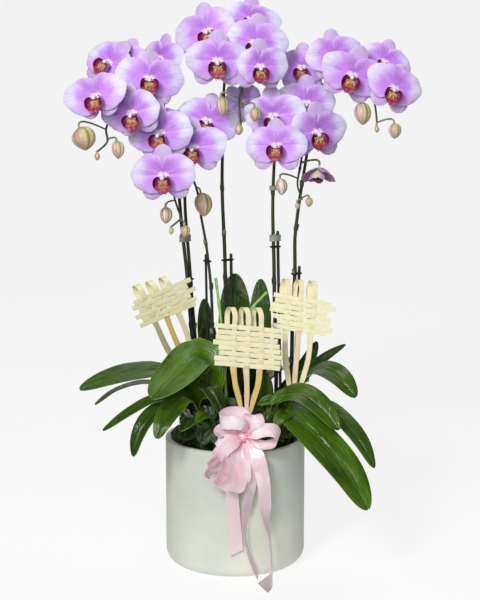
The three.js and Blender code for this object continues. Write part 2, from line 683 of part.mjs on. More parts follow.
// Green stubs of old flower stems, cut off above the leaves
const SHOOTS = {
  shoot_left: [[-13, -36, STANDS_FROM], [-13, -36, 250], [-20, -35, 365], [-28, -20, 429]],
  shoot_right: [[18, -24, STANDS_FROM], [18, -24, 250], [17, -32, 372], [23, -38, 386], [46, -30, 410]],
};
const SHOOT_RADIUS = 2;

// Woven ornaments: three split-bamboo strips bent over at the top, flat splints with uneven ends
// across them, and a stem that stands in the bark. The handle is listed from its lower end.
// leg is the height of the mat above the foot, and arch that of the bends above the mat. The
// splints are about long from end to end, lie aside of the handle and climb by slope.

const ORNAMENTS = {
  ornament_centre: {
    foot: [16, -81, 250], right: [1, 0, -0.08], up: [0.02, 0.08, 1], leg: 59, rows: 8, pitch: 7.6,
    aside: 3, slope: -0.065, long: 92, arch: 25,
    handle: [[15, -76, STANDS_FROM], [15, -76, 190], [15, -80, 240]], seed: 5,
  },
  ornament_right: {
    foot: [86, -50, 267], right: [0.98, -0.2, -0.14], up: [0.08, 0.2, 1], leg: 86, rows: 7, pitch: 7.4,
    aside: 3, slope: -0.1, long: 86, arch: 24,
    handle: [[78, -38, STANDS_FROM], [78, -38, 196], [84, -48, 258]], seed: 9,
  },
  ornament_left: {
    foot: [-64, -22, 281], right: [0.9, -0.1, 0.45], up: [-0.3, -0.3, 0.9], leg: 110, rows: 6, pitch: 7.5,
    aside: 5, slope: 0.11, long: 88, arch: 15,
    handle: [[-66, -22, STANDS_FROM], [-66, -22, 240], [-63, -20, 272]], seed: 13,
  },
};
const HANDLE_RADIUS = 3.4;
const WARP_STEP = 19;
const MAT_THICKNESS = 2.4;

function ornament(data) {
  const { foot, right, up, leg, rows, pitch, aside, slope, long, arch, handle, seed } = data;
  const random = randomFrom(seed);
  const rise = v(...up).normalize();
  const across = v(...right).addScaledVector(rise, -v(...right).dot(rise)).normalize();
  const front = across.clone().cross(rise);
  const place = (a, b, c) =>
    v(...foot).addScaledVector(across, a).addScaledVector(rise, b).addScaledVector(front, c);
  const top = leg + rows * pitch;
  const strips = [-1, 0, 1].map((i) => {
    const path = [
      [5 * i, -7, 1.4], [16 * i, leg * 0.6, 6], [WARP_STEP * i, leg + 4, 7],
      [WARP_STEP * i, top + arch - 9, 7], [WARP_STEP * i - 5, top + arch, 0],
      [WARP_STEP * i - 11, top + arch - 8, -7], [WARP_STEP * i - 5, leg + 2, 2.4],
      [15 * i, leg * 0.6, 2.4], [5 * i, -7, -1.4],
    ];
    const width = (k) => (k === 0 || k === path.length - 1 ? 4 : STRIP_WIDTH);
    return strip(path.map((p) => place(...p)), () => across, width, STRIP_THICKNESS);
  });
  const splints = Array.from({ length: rows }, (_, row) => {
    const middle = aside + random(-5, 5);
    const half = long / 2 + random(-3, 2);
    const depth = row % 2 ? 6.5 : 7.5;
    const height = leg + (row + 0.5) * pitch;
    const ends = [middle - half, middle + half].map((a) => place(a, height + slope * a, depth));
    return strip(ends, () => rise, () => pitch + 0.3, MAT_THICKNESS);
  });
  const neck = strip([place(0, -10, 0), place(0, 2, 0)], () => across, () => 15, 5.6);
  const stem = [...asPoints(handle), place(0, -6, 0)];
  return fuse(strips, splints, neck, tube(stem, stem.map(() => HANDLE_RADIUS), 6));
}

// Bow: one length of satin ribbon tied round the stem of the centre ornament.

const KNOT = v(12, -100, 214);
const LOOPS = [
  { out: [-26, -6, 32], open: [-1, 0.3, -0.7], spread: 11 },
  { out: [19, -8, 34], open: [0.9, -0.4, -0.3], spread: 7 },
  { out: [49, -12, 4], open: [-0.1, 0.3, 1], spread: 11 },
  { out: [-36, -15, -26], open: [0.3, 0.9, -0.2], spread: 8 },
  { out: [-47, -32, -48], open: [0.47, -0.85, 0.1], spread: 12 },
  { out: [-34, -34, -60], open: [0.5, -0.82, 0.18], spread: 11 },
  { out: [-18, -32, -70], open: [0.4, -0.87, 0.28], spread: 11 },
  { out: [-1, -26, -66], open: [0.3, -0.89, 0.33], spread: 9 },
];
const TAILS = [
  { path: [[8, -103, 206], [-1, -115, 184], [-8, -115, 140], [-6, -111, 90], [1, -108, 36]],
    across: [1, 0.05, 0.1] },
  { path: [[15, -104, 206], [24, -116, 178], [20, -115, 124], [16, -112, 64], [24, -110, 30],
    [36, -110, 7]], across: [1, 0.2, 0.3] },
  { path: [[18, -103, 210], [36, -114, 188], [50, -116, 140], [54, -112, 90], [53, -110, 28],
    [51, -115, 5], [47, -130, 0.5], [43, -158, 0.5]], across: [1, 0.12, 0] },
];

function ribbonLoop({ out, open, spread }) {
  const length = v(...out).length();
  const along = v(...out).normalize();
  const apart = v(...open).addScaledVector(along, -v(...open).dot(along)).normalize();
  const across = along.clone().cross(apart);
  const steps = 6;
  const points = Array.from({ length: steps + 1 }, (_, i) => {
    const angle = Math.PI * (0.04 + (0.92 * i) / steps);
    const p = KNOT.clone()
      .addScaledVector(along, length * Math.sin(angle) ** 1.2)
      .addScaledVector(apart, spread * Math.sin(2 * angle));
    if (p.z < POT_HEIGHT + 16) p.y = Math.min(p.y, -POT_RADIUS - 8);
    return p;
  });
  const width = (i) => (i === 0 || i === steps ? 5 : RIBBON_WIDTH);
  return strip(points, () => across, width, RIBBON_THICKNESS);
}

function ribbon() {
  const loops = LOOPS.map(ribbonLoop);
  const tails = TAILS.map(({ path, across }) => {
    const width = (i) => (i === 0 ? 6 : RIBBON_WIDTH);
    return strip(asPoints(path), () => v(...across), width, RIBBON_THICKNESS);
  });
  const knot = tube(
    [KNOT.clone().add(v(-9, 1, 3)), KNOT.clone(), KNOT.clone().add(v(9, 1, -2))],
    [5, 7, 5],
    4,
  );
  const inner = HANDLE_RADIUS + 2;
  const ring = CrossSection.circle(inner + 1, 8)
    .subtract(CrossSection.circle(inner, 8))
    .extrude(10)
    .translate([15, -78.5, KNOT.z - 5]);
  const bridge = strip([v(15, -84.2, KNOT.z), v(13, -96, KNOT.z)], () => UP, () => 8, 6);
  return fuse(loops, tails, knot, ring, bridge);
}

// Assembly

const orchid = new THREE.Group();
orchid.name = "potted_moth_orchid";

orchid.add(node("pot", pot(), CERAMIC));

const standing = [];
for (const { collar: [x, y] } of Object.values(PLANTS)) {
  standing.push({ from: v(x, y, STANDS_FROM), to: v(x, y, 198), radius: COLLAR_RADIUS, sides: 8 });
}
for (const { route, radius } of Object.values(SPIKES)) {
  standing.push({ from: v(...route[0]), to: v(...route[1]), radius: radius[0] });
}
for (const { from, to, radius } of Object.values(STAKES)) {
  standing.push({ from: v(...from), to: v(...to), radius });
}
for (const [from, to] of Object.values(SHOOTS)) {
  standing.push({ from: v(...from), to: v(...to), radius: SHOOT_RADIUS });
}
for (const { handle: [from, to] } of Object.values(ORNAMENTS)) {
  standing.push({ from: v(...from), to: v(...to), radius: HANDLE_RADIUS });
}
orchid.add(node("potting_medium", medium(standing), BARK));

for (const [name, data] of Object.entries(PLANTS)) orchid.add(node(name, plant(data), LEAF));
for (const name of Object.keys(SPIKES)) orchid.add(node(name, spike(name), STEM));
for (const [name, { from, to, radius }] of Object.entries(STAKES)) {
  orchid.add(node(name, rod(v(...from), v(...to), radius), STAKE));
}
for (const [name, route] of Object.entries(SHOOTS)) {
  const shoot = tube(asPoints(route), route.map(() => SHOOT_RADIUS), 6);
  orchid.add(node(name, shoot, SHOOT));
}
for (const [name, data] of Object.entries(TIES)) orchid.add(node(name, band(data), WIRE));
for (const [name, data] of Object.entries(CLIPS)) orchid.add(node(name, band(data), CLIP));
for (const [name, data] of Object.entries(ORNAMENTS)) {
  orchid.add(node(name, ornament(data), BAMBOO));
}
orchid.add(node("ribbon", ribbon(), SATIN));
for (const [name, pose] of Object.entries(BLOOMS)) {
  const flower = node(name, bloom(pose), PETAL);
  flower.position.set(...pose.at);
  flower.quaternion.copy(turnOf(pose));
  flower.scale.setScalar(pose.size ?? 1);
  orchid.add(flower);
}

export default orchid;
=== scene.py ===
"""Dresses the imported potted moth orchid: fine blooms, stems, leaves, bamboo, satin and ceramic.

Lengths are in millimetres, in the row frame, until a mesh is made from them.
"""
import math
import random

import bpy
import numpy as np
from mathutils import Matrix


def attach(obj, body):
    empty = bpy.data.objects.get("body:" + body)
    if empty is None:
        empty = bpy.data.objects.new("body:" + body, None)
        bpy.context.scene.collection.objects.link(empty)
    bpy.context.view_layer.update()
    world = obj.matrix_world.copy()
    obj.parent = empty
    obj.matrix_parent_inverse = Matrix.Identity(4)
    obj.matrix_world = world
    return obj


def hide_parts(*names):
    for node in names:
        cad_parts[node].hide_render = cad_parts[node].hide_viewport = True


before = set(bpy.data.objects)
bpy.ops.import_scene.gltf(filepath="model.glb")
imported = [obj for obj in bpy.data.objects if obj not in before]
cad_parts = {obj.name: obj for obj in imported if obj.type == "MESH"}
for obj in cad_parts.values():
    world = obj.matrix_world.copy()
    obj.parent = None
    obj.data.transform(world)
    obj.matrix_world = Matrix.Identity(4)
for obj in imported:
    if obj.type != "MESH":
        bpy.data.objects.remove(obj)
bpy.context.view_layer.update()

MM = 0.001

# Camera, lamps and floor, in metres

CAMERA_AT, CAMERA_TILT, CAMERA_LENS, SENSOR_HEIGHT = (0.0072, -2.4, 0.829), 79.7, 66.72, 24
# Each lamp: where it is, the height that it looks at, its width and its watts.
LAMPS = {
    "key": ((-1.05, -2.6, 2.1), 0.45, 0.6, 42),
    "front": ((-0.5, -3.0, 1.5), 0.45, 2.0, 53),
    "top": ((0.3, 0.4, 2.6), 0.4, 1.4, 14),
    "fill": ((2.0, -1.8, 0.9), 0.4, 1.6, 1),
}
WORLD_LIGHT, STAGE_GLOW = 0.13, 0.79
STAGE_FRONT, STAGE_BACK, STAGE_BEND, STAGE_TOP, STAGE_STEPS = -0.35, 2.0, 1.5, 3.4, 12


def put_in_scene(name, data):
    thing = bpy.data.objects.new(name, data)
    bpy.context.scene.collection.objects.link(thing)
    return thing


def add_camera():
    camera = put_in_scene("camera", bpy.data.cameras.new("camera"))
    camera.location = CAMERA_AT
    camera.rotation_euler = (math.radians(CAMERA_TILT), 0, 0)
    camera.data.sensor_fit = "VERTICAL"
    camera.data.sensor_height = SENSOR_HEIGHT
    camera.data.lens = CAMERA_LENS
    bpy.context.scene.camera = camera


def add_lamps():
    world = bpy.data.worlds.new("world")
    bpy.context.scene.world = world
    world.use_nodes = True
    background = world.node_tree.nodes["Background"]
    background.inputs["Color"].default_value = (1, 1, 1, 1)
    background.inputs["Strength"].default_value = WORLD_LIGHT
    for name, (place, height, size, watts) in LAMPS.items():
        data = bpy.data.lights.new(name, "AREA")
        data.shape, data.size, data.energy = "DISK", size, watts
        lamp = put_in_scene(name, data)
        lamp.location = place
        x, y, z = place[0], place[1], place[2] - height
        lamp.rotation_euler = (math.atan2(math.hypot(x, y), z), 0, math.atan2(x, -y))


def linear(code):
    """The linear colour of a #rrggbb code."""
    parts = [int(code[i:i + 2], 16) / 255 for i in (1, 3, 5)]
    return tuple(p / 12.92 if p < 0.04045 else ((p + 0.055) / 1.055) ** 2.4 for p in parts) + (1,)


class Signal:
    """What one node hands to the next. Signals can be added, subtracted and multiplied."""

    def __init__(self, paint, socket):
        self.paint, self.socket = paint, socket

    def reckon(self, operation, *others):
        return self.paint.node("ShaderNodeMath", dict(enumerate((self, *others))), operation=operation)

    def __add__(self, other):
        return self.reckon("ADD", other)

    def __sub__(self, other):
        return self.reckon("SUBTRACT", other)

    def __mul__(self, other):
        return self.reckon("MULTIPLY", other)

    def __abs__(self):
        return self.reckon("ABSOLUTE")

    def step(self, low, high):
        """Eases from 0 at low to 1 at high."""
        limits = {"Value": self, "From Min": low, "From Max": high}
        return self.paint.node("ShaderNodeMapRange", limits, interpolation_type="SMOOTHSTEP")


class Paint:
    """The nodes of one material: layers of colour, and a relief over them."""

    def __init__(self, name, **sockets):
        self.material = bpy.data.materials.new(name)
        self.material.use_nodes = True
        self.tree = self.material.node_tree
        self.shader = self.tree.nodes["Principled BSDF"]
        self.base = None
        for key, value in sockets.items():
            self.put(self.shader, key.replace("_", " "), value)

    def put(self, node, key, value):
        if isinstance(value, Signal):
            self.tree.links.new(value.socket, node.inputs[key])
        else:
            node.inputs[key].default_value = linear(value) if isinstance(value, str) else value

    def node(self, kind, inputs, output=0, **settings):
        node = self.tree.nodes.new(kind)
        for key, value in settings.items():
            setattr(node, key, value)
        for key, value in inputs.items():
            self.put(node, key, value)
        return Signal(self, node.outputs[output])

    def grow(self):
        """The three coordinates that the mesh carries: along, across, and front or back."""
        carried = self.node("ShaderNodeAttribute", {}, "Vector", attribute_name="grow")
        parts = self.node("ShaderNodeSeparateXYZ", {"Vector": carried}).socket.node.outputs
        return [Signal(self, part) for part in parts]

    def tint(self):
        """A number from 0 to 1 that differs from leaf to leaf and from bloom to bloom."""
        return self.node("ShaderNodeAttribute", {}, "Fac", attribute_name="tint")

    def noise(self, where, scale, detail=3.0, roughness=0.55):
        """Clouds over the object, where that is None, or over three signals."""
        if where is None:
            vector = self.node("ShaderNodeTexCoord", {}, "Object")
        else:
            vector = self.node("ShaderNodeCombineXYZ", dict(enumerate(where)))
        look = {"Vector": vector, "Scale": scale, "Detail": detail, "Roughness": roughness}
        return self.node("ShaderNodeTexNoise", look)

    def ramp(self, value, *stops):
        """stops: (position, "#rrggbb") or (position, number)."""
        ramp = self.node("ShaderNodeValToRGB", {"Fac": value})
        elements = ramp.socket.node.color_ramp.elements
        while len(elements) < len(stops):
            elements.new(1)
        for element, (position, color) in zip(elements, stops):
            element.position = position
            element.color = linear(color) if isinstance(color, str) else (color,) * 3 + (1,)
        return ramp

    def mix(self, share, a, b):
        return self.node("ShaderNodeMix", {0: share, 6: a, 7: b}, 2, data_type="RGBA")

    def over(self, share, color):
        """Lays a colour over those below it."""
        self.base = self.mix(share, self.base, color)

    def finish(self, height, strength, distance):
        self.put(self.shader, "Base Color", self.base)
        relief = {"Height": height, "Strength": strength, "Distance": distance}
        bump = self.node("ShaderNodeBump", relief)
        for socket in ("Normal", "Coat Normal"):
            self.put(self.shader, socket, bump)
        return self.material


def add_stage():
    """A floor that rises behind the object in one smooth curve."""
    paint = Paint("stage_white", Roughness=0.9, Emission_Color="#ffffff", Emission_Strength=STAGE_GLOW)
    soft = paint.ramp(paint.noise(None, 3.0), (0.3, "#7a7a7a"), (0.7, "#7e7e7e"))
    paint.put(paint.shader, "Base Color", soft)
    profile = [(STAGE_FRONT, 0.0), (STAGE_BACK, 0.0)]
    for k in range(1, STAGE_STEPS + 1):
        angle = math.pi / 2 * k / STAGE_STEPS
        profile.append((STAGE_BACK + STAGE_BEND * math.sin(angle), STAGE_BEND * (1 - math.cos(angle))))
    profile.append((STAGE_BACK + STAGE_BEND, STAGE_TOP))
    points = [(x, y, z) for y, z in profile for x in (-0.2 * y - 0.5, 0.2 * y + 0.5)]
    faces = [(2 * k, 2 * k + 1, 2 * k + 3, 2 * k + 2) for k in range(len(profile) - 1)]
    mesh = bpy.data.meshes.new("stage")
    mesh.from_pydata(points, [], faces)
    mesh.shade_smooth()
    mesh.materials.append(paint.material)
    put_in_scene("stage", mesh)


# Tables, curves and shells

def numbers(text):
    return [float(word) if "." in word else int(word) for word in text.split()]


def tuples(values, size=3):
    """The numbers of a list or of a text, some at a time."""
    values = numbers(values) if isinstance(values, str) else values
    return list(zip(*[iter(values)] * size))


def unit(vectors):
    length = np.linalg.norm(vectors, axis=-1, keepdims=True)
    return vectors / np.maximum(length, 1e-9)


def spin(axis, degrees):
    """The matrix of a turn about x, y or z."""
    c, s = math.cos(math.radians(degrees)), math.sin(math.radians(degrees))
    return np.array({
        "x": [[1, 0, 0], [0, c, -s], [0, s, c]],
        "y": [[c, 0, s], [0, 1, 0], [-s, 0, c]],
        "z": [[c, -s, 0], [s, c, 0], [0, 0, 1]],
    }[axis])


def bulge(value, middle, width):
    """A smooth bump of height 1."""
    return np.exp(-((value - middle) / width) ** 2)


class Curve:
    """A smooth curve through points, read by its share of the length."""

    STEPS = 14

    def __init__(self, points):
        points = np.array(points, float)
        first, last = 2 * points[0] - points[1], 2 * points[-1] - points[-2]
        padded = np.vstack([first, points, last])
        dense = []
        for a, b, c, d in zip(padded, padded[1:], padded[2:], padded[3:]):
            one, two, three = (np.linalg.norm(q - p) ** 0.5 for p, q in ((a, b), (b, c), (c, d)))
            leave = ((b - a) / one - (c - a) / (one + two) + (c - b) / two) * two
            arrive = ((c - b) / two - (d - b) / (two + three) + (d - c) / three) * two
            for t in np.arange(self.STEPS) / self.STEPS:
                dense.append(
                    (2 * t**3 - 3 * t**2 + 1) * b + (t**3 - 2 * t**2 + t) * leave
                    + (3 * t**2 - 2 * t**3) * c + (t**3 - t**2) * arrive
                )
        self.points = np.vstack([dense, points[-1]])
        steps = np.linalg.norm(np.diff(self.points, axis=0), axis=1)
        self.reach = np.concatenate([[0], np.cumsum(steps)])
        self.length = self.reach[-1]

    def at(self, share):
        where = np.asarray(share) * self.length
        return np.stack([np.interp(where, self.reach, c) for c in self.points.T], axis=-1)

    def even(self, count):
        """Points at even distances."""
        return self.at(np.linspace(0, 1, count))

    def along(self, share):
        """The direction of the curve."""
        ahead, behind = np.minimum(share + 0.004, 1), np.maximum(share - 0.004, 0)
        return unit(self.at(ahead) - self.at(behind))

    def blend(self, share, vectors):
        """Vectors given at the curve's own points, eased between them."""
        knots = self.reach[::self.STEPS] / self.length
        return np.stack([np.interp(share, knots, c) for c in np.array(vectors, float).T], axis=-1)

    def nearest(self, target):
        return self.points[np.argmin(np.linalg.norm(self.points - np.array(target), axis=1))]


class Build:
    """Gathers closed shells into one mesh, with the coordinates that its materials read."""

    def __init__(self):
        self.points, self.grows, self.tints, self.faces, self.looks = [], [], [], [], []
        self.count = 0

    def add(self, points, faces, grow, look=0, tint=0.5):
        self.points.append(points)
        self.grows.append(grow)
        self.tints.append(np.full(len(points), tint))
        self.faces.extend([int(i) + self.count for i in face] for face in faces)
        self.looks.extend([look] * len(faces))
        self.count += len(points)

    def turn(self, matrix, offset):
        """Moves all that was gathered so far."""
        self.points = [p @ np.array(matrix).T + np.array(offset) for p in self.points]

    def finish(self, node, slot, paints, sharp=50):
        """Makes the piece that takes the node's place; look numbers the paints."""
        mesh = bpy.data.meshes.new(node + "_fine")
        mesh.from_pydata((np.vstack(self.points) * MM).tolist(), [], self.faces)
        for key, kind, field, data in (("grow", "FLOAT_VECTOR", "vector", np.vstack(self.grows)),
                                       ("tint", "FLOAT", "value", np.concatenate(self.tints))):
            mesh.attributes.new(key, kind, "POINT").data.foreach_set(field, data.ravel())
        for paint in paints:
            mesh.materials.append(PAINTS[paint])
        mesh.polygons.foreach_set("material_index", self.looks)
        mesh.shade_smooth()
        mesh.set_sharp_from_angle(angle=math.radians(sharp))
        mesh.update()
        piece = put_in_scene(node + "_fine", mesh)
        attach(piece, "root")
        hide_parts(node)
        return piece


def shell(build, rows, thickness, faces_to=None, rim=0.3, grow=None, **looks):
    """A closed thin sheet from rows of points; rim is the border's share of the thickness."""
    grid = np.array(rows, float)
    count, wide = grid.shape[:2]
    if grow is None:
        grow = np.linspace(0, 1, count)[:, None], np.linspace(-1, 1, wide)[None, :]
    grow = np.stack(np.broadcast_arrays(*grow), axis=-1)
    normal = unit(np.cross(np.gradient(grid, axis=0), np.gradient(grid, axis=1)))
    if faces_to is not None and normal.reshape(-1, 3).sum(0) @ np.array(faces_to) < 0:
        grid, normal, grow = grid[:, ::-1], -normal[:, ::-1], grow[:, ::-1]
    half = np.full((count, wide, 1), thickness / 2.0)
    half[0], half[-1] = half[0] * rim, half[-1] * rim
    half[:, 0], half[:, -1] = half[:, 1] * rim, half[:, -2] * rim
    front = (grid + normal * half).reshape(-1, 3)
    back = (grid - normal * half).reshape(-1, 3)
    total = count * wide
    index = np.arange(total).reshape(count, wide)
    quads = np.stack([index[:-1, :-1], index[1:, :-1], index[1:, 1:], index[:-1, 1:]], axis=-1)
    quads = quads.reshape(-1, 4)
    loop = np.concatenate([index[:-1, 0], index[-1, :-1], index[:0:-1, -1], index[0, :0:-1]])
    after = np.roll(loop, -1)
    side = np.stack([after, loop, loop + total, after + total], axis=-1)
    flat = grow.reshape(-1, 2)
    coordinates = np.vstack([np.column_stack([flat, np.full(total, is_back)]) for is_back in (0, 1)])
    faces = np.vstack([quads, quads[:, ::-1] + total, side])
    build.add(np.vstack([front, back]), faces, coordinates, **looks)


def skin(build, grid, grow, **looks):
    """A closed surface through rings of points, with a flat face at each end."""
    count, sides = grid.shape[:2]
    index = np.arange(count * sides).reshape(count, sides)
    turned = np.roll(index, -1, axis=1)
    quads = np.stack([index[:-1], turned[:-1], turned[1:], index[1:]], axis=-1).reshape(-1, 4)
    ends = [index[0][::-1].tolist(), index[-1].tolist()]
    build.add(grid.reshape(-1, 3), quads.tolist() + ends, grow.reshape(-1, 3), **looks)


def frames(points, start=None):
    """Side and other direction at each point, turning as little as they can."""
    along = unit(np.gradient(points, axis=0))
    if start is None:
        start = (1, 0, 0) if abs(along[0][2]) > 0.9 else (0, 0, 1)
    side, sides = np.array(start, float), []
    for direction in along:
        side = side - direction * (side @ direction)
        side = side / np.linalg.norm(side)
        sides.append(side)
    return np.array(sides), np.cross(along, sides)


def tube(build, points, radii, sides=10, round_ends=False, start=None, lobes=None, by_length=False, **looks):
    """A closed tube; lobes(angle, share) may scale the radius, and by_length grows in millimetres."""
    points = np.array(points, float)
    radii = np.broadcast_to(np.array(radii, float), len(points))
    if round_ends:
        along = unit(np.gradient(points, axis=0))
        caps = [(math.cos(a), math.sin(a)) for a in (0.35, 0.8, 1.2)]
        head = [points[-1] + along[-1] * radii[-1] * s for c, s in caps]
        foot = [points[0] - along[0] * radii[0] * s for c, s in caps[::-1]]
        points = np.vstack([foot, points, head])
        ends = [c for c, s in caps]
        radii = np.concatenate([radii[0] * np.array(ends[::-1]), radii, radii[-1] * np.array(ends)])
    side, other = frames(points, start)
    angle = np.arange(sides) * 2 * math.pi / sides
    share = np.linspace(0, 1, len(points))
    scale = np.array([[lobes(a, t) if lobes else 1.0 for a in angle] for t in share])
    cos, sin = np.cos(angle), np.sin(angle)
    ring = side[:, None] * cos[None, :, None] + other[:, None] * sin[None, :, None]
    grid = points[:, None] + ring * (radii[:, None] * scale)[:, :, None]
    if by_length:
        share = np.concatenate([[0], np.cumsum(np.linalg.norm(np.diff(points, axis=0), axis=1))])
    grow = np.stack(np.broadcast_arrays(share[:, None], cos[None], sin[None]), axis=-1)
    skin(build, grid, grow, **looks)


def band(build, points, across, width, thickness, **looks):
    """A flat strip along points; across is the direction of its width."""
    points, width = np.array(points, float), np.broadcast_to(width, len(points))
    along = unit(np.gradient(points, axis=0))
    across = unit(across - along * (across * along).sum(-1, keepdims=True))
    s = np.linspace(-1, 1, 5)[:, None]
    rows = points[:, None] + across[:, None] * s * width[:, None, None] / 2
    shell(build, rows, thickness, rim=0.8, **looks)


def ball(build, center, radii, turn=np.eye(3), rings=7, sides=10, rough=0.0, rng=None, **looks):
    """A closed rounded lump."""
    points, grow = [(0, 0, -1)], [(0, 0, 0)]
    for i in range(1, rings):
        lift = math.pi * i / rings
        for k in range(sides):
            cos, sin = math.cos(2 * math.pi * k / sides), math.sin(2 * math.pi * k / sides)
            points.append((math.sin(lift) * cos, math.sin(lift) * sin, -math.cos(lift)))
            grow.append((i / rings, cos, sin))
    points, grow = np.array(points + [(0, 0, 1)]), np.array(grow + [(1, 0, 0)])
    if rough:
        points = points * np.array([[1 + rng.uniform(-rough, rough)] for _ in points])
    faces = []
    for k in range(sides):
        n = (k + 1) % sides
        faces.append([0, 1 + n, 1 + k])
        for low in range(1, 1 + (rings - 2) * sides, sides):
            high = low + sides
            faces.append([low + k, low + n, high + n, high + k])
        top = 1 + (rings - 2) * sides
        faces.append([top + k, top + n, len(points) - 1])
    build.add((points * np.array(radii)) @ turn.T + np.array(center), faces, grow, **looks)


# Blooms: each is built to face +Z with its top at +Y, as its node does

PLAIN_BLOOM = dict(size=1, cup=-0.002, hood=0, low=0.4, wide=(1, 1), swing=(0, 0), sepals=(1, 1, 1))
# Where each is, its azimuth, elevation and roll, and what sets it apart from the plain bloom.
BLOOMS = {
    "bloom_left_1": ((-186, -145, 697), (-18, 8, 13), dict(wide=(1.03, 0.95), swing=(0, 4), low=0.5,
        sepals=(0.66, 0.78, 0.78))),
    "bloom_left_2": ((-175, -58, 738), (-28, 24, -26), dict(size=0.95, wide=(0.95, 0.85))),
    "bloom_left_3": ((-118, -94, 718), (10, 10, -6), dict(wide=(1.05, 1.12), swing=(3, 3))),
    "bloom_left_4": ((-139, -126, 674), (-16, -6, 13), dict(wide=(0.99, 0.86), low=0.46,
        sepals=(1, 0.85, 0.9))),
    "bloom_left_5": ((-104, -34, 744), (-42, 8, -4), dict(size=0.86, wide=(0.9, 1.05))),
    "bloom_left_6": ((-154, -43, 742), (-14, 16, -20), dict(size=0.82)),
    "bloom_left_7": ((-107, -73, 668), (0, -66, 0), dict(size=0.7)),
    "bloom_middle_1": ((-103, -104, 645), (-16, -4, 5), dict(wide=(1.06, 1.06))),
    "bloom_middle_2": ((-97, -134, 590), (-9, -3, 4), {}),
    "bloom_middle_3": ((-57, -85, 624), (-14, -3, 3), dict(size=0.97, wide=(1, 1.1))),
    "bloom_middle_4": ((-39, -58, 658), (0, 2, -16), dict(size=0.95, wide=(1, 1.08))),
    "bloom_top_1": ((-23, -94, 743), (-2, -4, 0), dict(wide=(0.98, 0.88))),
    "bloom_top_2": ((34, -112, 736), (10, -6, -2), dict(size=0.9, wide=(0.74, 0.98))),
    "bloom_top_3": ((-37, -57, 782), (-16, 6, 15), dict(wide=(1.14, 0.88), swing=(-4, 4))),
    "bloom_top_4": ((27, -74, 766), (4, 2, -8), dict(wide=(0.9, 1.05))),
    "bloom_top_5": ((20, -34, 797), (14, 14, -15), dict(size=0.88, wide=(0.9, 1.18))),
    "bloom_top_6": ((11, -42, 684), (168, 20, -36), dict(size=0.72)),
    "bloom_right_1": ((160, -104, 724), (2, -3, -18), {}),
    "bloom_right_2": ((216, -122, 706), (6, 6, -22), dict(size=0.95, wide=(1, 0.88), swing=(16, 14),
        low=0.46, sepals=(0.9, 0.85, 0.85))),
    "bloom_right_3": ((94, -36, 731), (-8, 4, 0), dict(size=0.85)),
    "bloom_right_4": ((137, -74, 750), (6, 6, 8), dict(size=0.88)),
    "bloom_right_5": ((206, -72, 740), (8, 12, -22), dict(size=0.83)),
    "bloom_centre_1": ((57, -114, 628), (-10, 12, 2), dict(size=0.95)),
    "bloom_centre_2": ((53, -86, 667), (-6, -2, 6), dict(wide=(0.9, 1.02))),
    "bloom_centre_3": ((113, -98, 646), (16, -4, 2), dict(wide=(0.88, 0.98))),
    "bloom_centre_4": ((99, -64, 683), (4, 4, -2), dict(size=0.96)),
    "bloom_centre_5": ((118, -66, 592), (-12, -60, 4), dict(size=0.66, cup=0.02, hood=0.05,
        wide=(0.8, 0.8), sepals=(0.52, 0.8, 0.8))),
}
BLOOM_BACK = 8
PETAL_REACH, SEPAL_LENGTH, PETAL_THICK = 45, 42, 0.8
SEPALS = ((90, 26), (227, 28), (313, 28))
PETAL, SEPAL, LIP, GOLD, COLUMN, EAR = range(6)
OPEN_PAINTS = ("petal", "sepal", "lip", "gold", "column", "ear")
HALF_OPEN_PAINTS = ("rose", "young", "ear", "ear", "column", "ear")


def turn_of(face):
    azimuth, elevation, roll = face
    return spin("z", azimuth) @ spin("x", 90 - elevation) @ spin("z", roll)


def petal(build, hand, data, rng, tint):
    wide, swing = (data[key][hand > 0] for key in ("wide", "swing"))
    share = (0.06 + 0.94 * np.linspace(0, 1, 18) ** 0.9)[:, None]
    degrees = np.linspace(-86, 86, 41)[None, :]
    lean = np.radians(degrees)
    narrow = np.where(degrees > 0, 0.38, data["low"] - 0.05) + rng.uniform(-0.03, 0.03)
    reach = PETAL_REACH * rng.uniform(0.955, 0.99) * (1 - narrow * np.sin(lean) ** 2)
    reach = reach * (1 - (np.abs(degrees) / 96) ** 9) * share
    # Slow and quick waves of the rim, and a blunt tip.
    reach = reach * (1 + 0.03 * share**3 * np.sin(5 * lean + rng.uniform(0, 6)))
    reach = reach * (1 + 0.011 * share**4 * np.sin(14 * lean + rng.uniform(0, 6)))
    reach = reach * (1 + 0.045 * share**2 * bulge(degrees, rng.uniform(-18, 16), 15))
    out, lift = reach * np.cos(lean + 0.1) * wide, reach * np.sin(lean + 0.1)
    turn = math.radians(swing)
    x = 0.2 + out * math.cos(turn) - lift * math.sin(turn)
    y = 0.6 + out * math.sin(turn) + lift * math.cos(turn)
    edge = np.clip((share - 0.75) / 0.25, 0, 1)
    # The left petal lies a little behind the right one. Both have a middle fold and a falling edge.
    z = 1.4 + 0.5 * hand + data["cup"] * (x * x + y * y)
    z = z + 1.0 * np.sin(math.pi * share) * np.sin(lean) ** 2
    z = z - 1.3 * bulge(degrees, rng.uniform(-4, 4), 9) * np.sin(math.pi * share)
    z = z - rng.uniform(1.0, 3.0) * edge**2 * (0.4 + 0.6 * np.cos(lean) ** 2)
    z = z + rng.uniform(0.8, 1.9) * share**3 * np.sin(3.4 * lean + rng.uniform(0, 6))
    z = z + 0.7 * share**4 * np.sin(11 * lean + rng.uniform(0, 6))
    z = z + x * rng.uniform(-0.05, 0.1) + y * rng.uniform(-0.06, 0.06)
    rows = np.stack([hand * x, y, z], axis=-1)
    shell(build, rows, PETAL_THICK, (0, 0, 1), grow=(share, degrees / 90), look=PETAL, tint=tint)


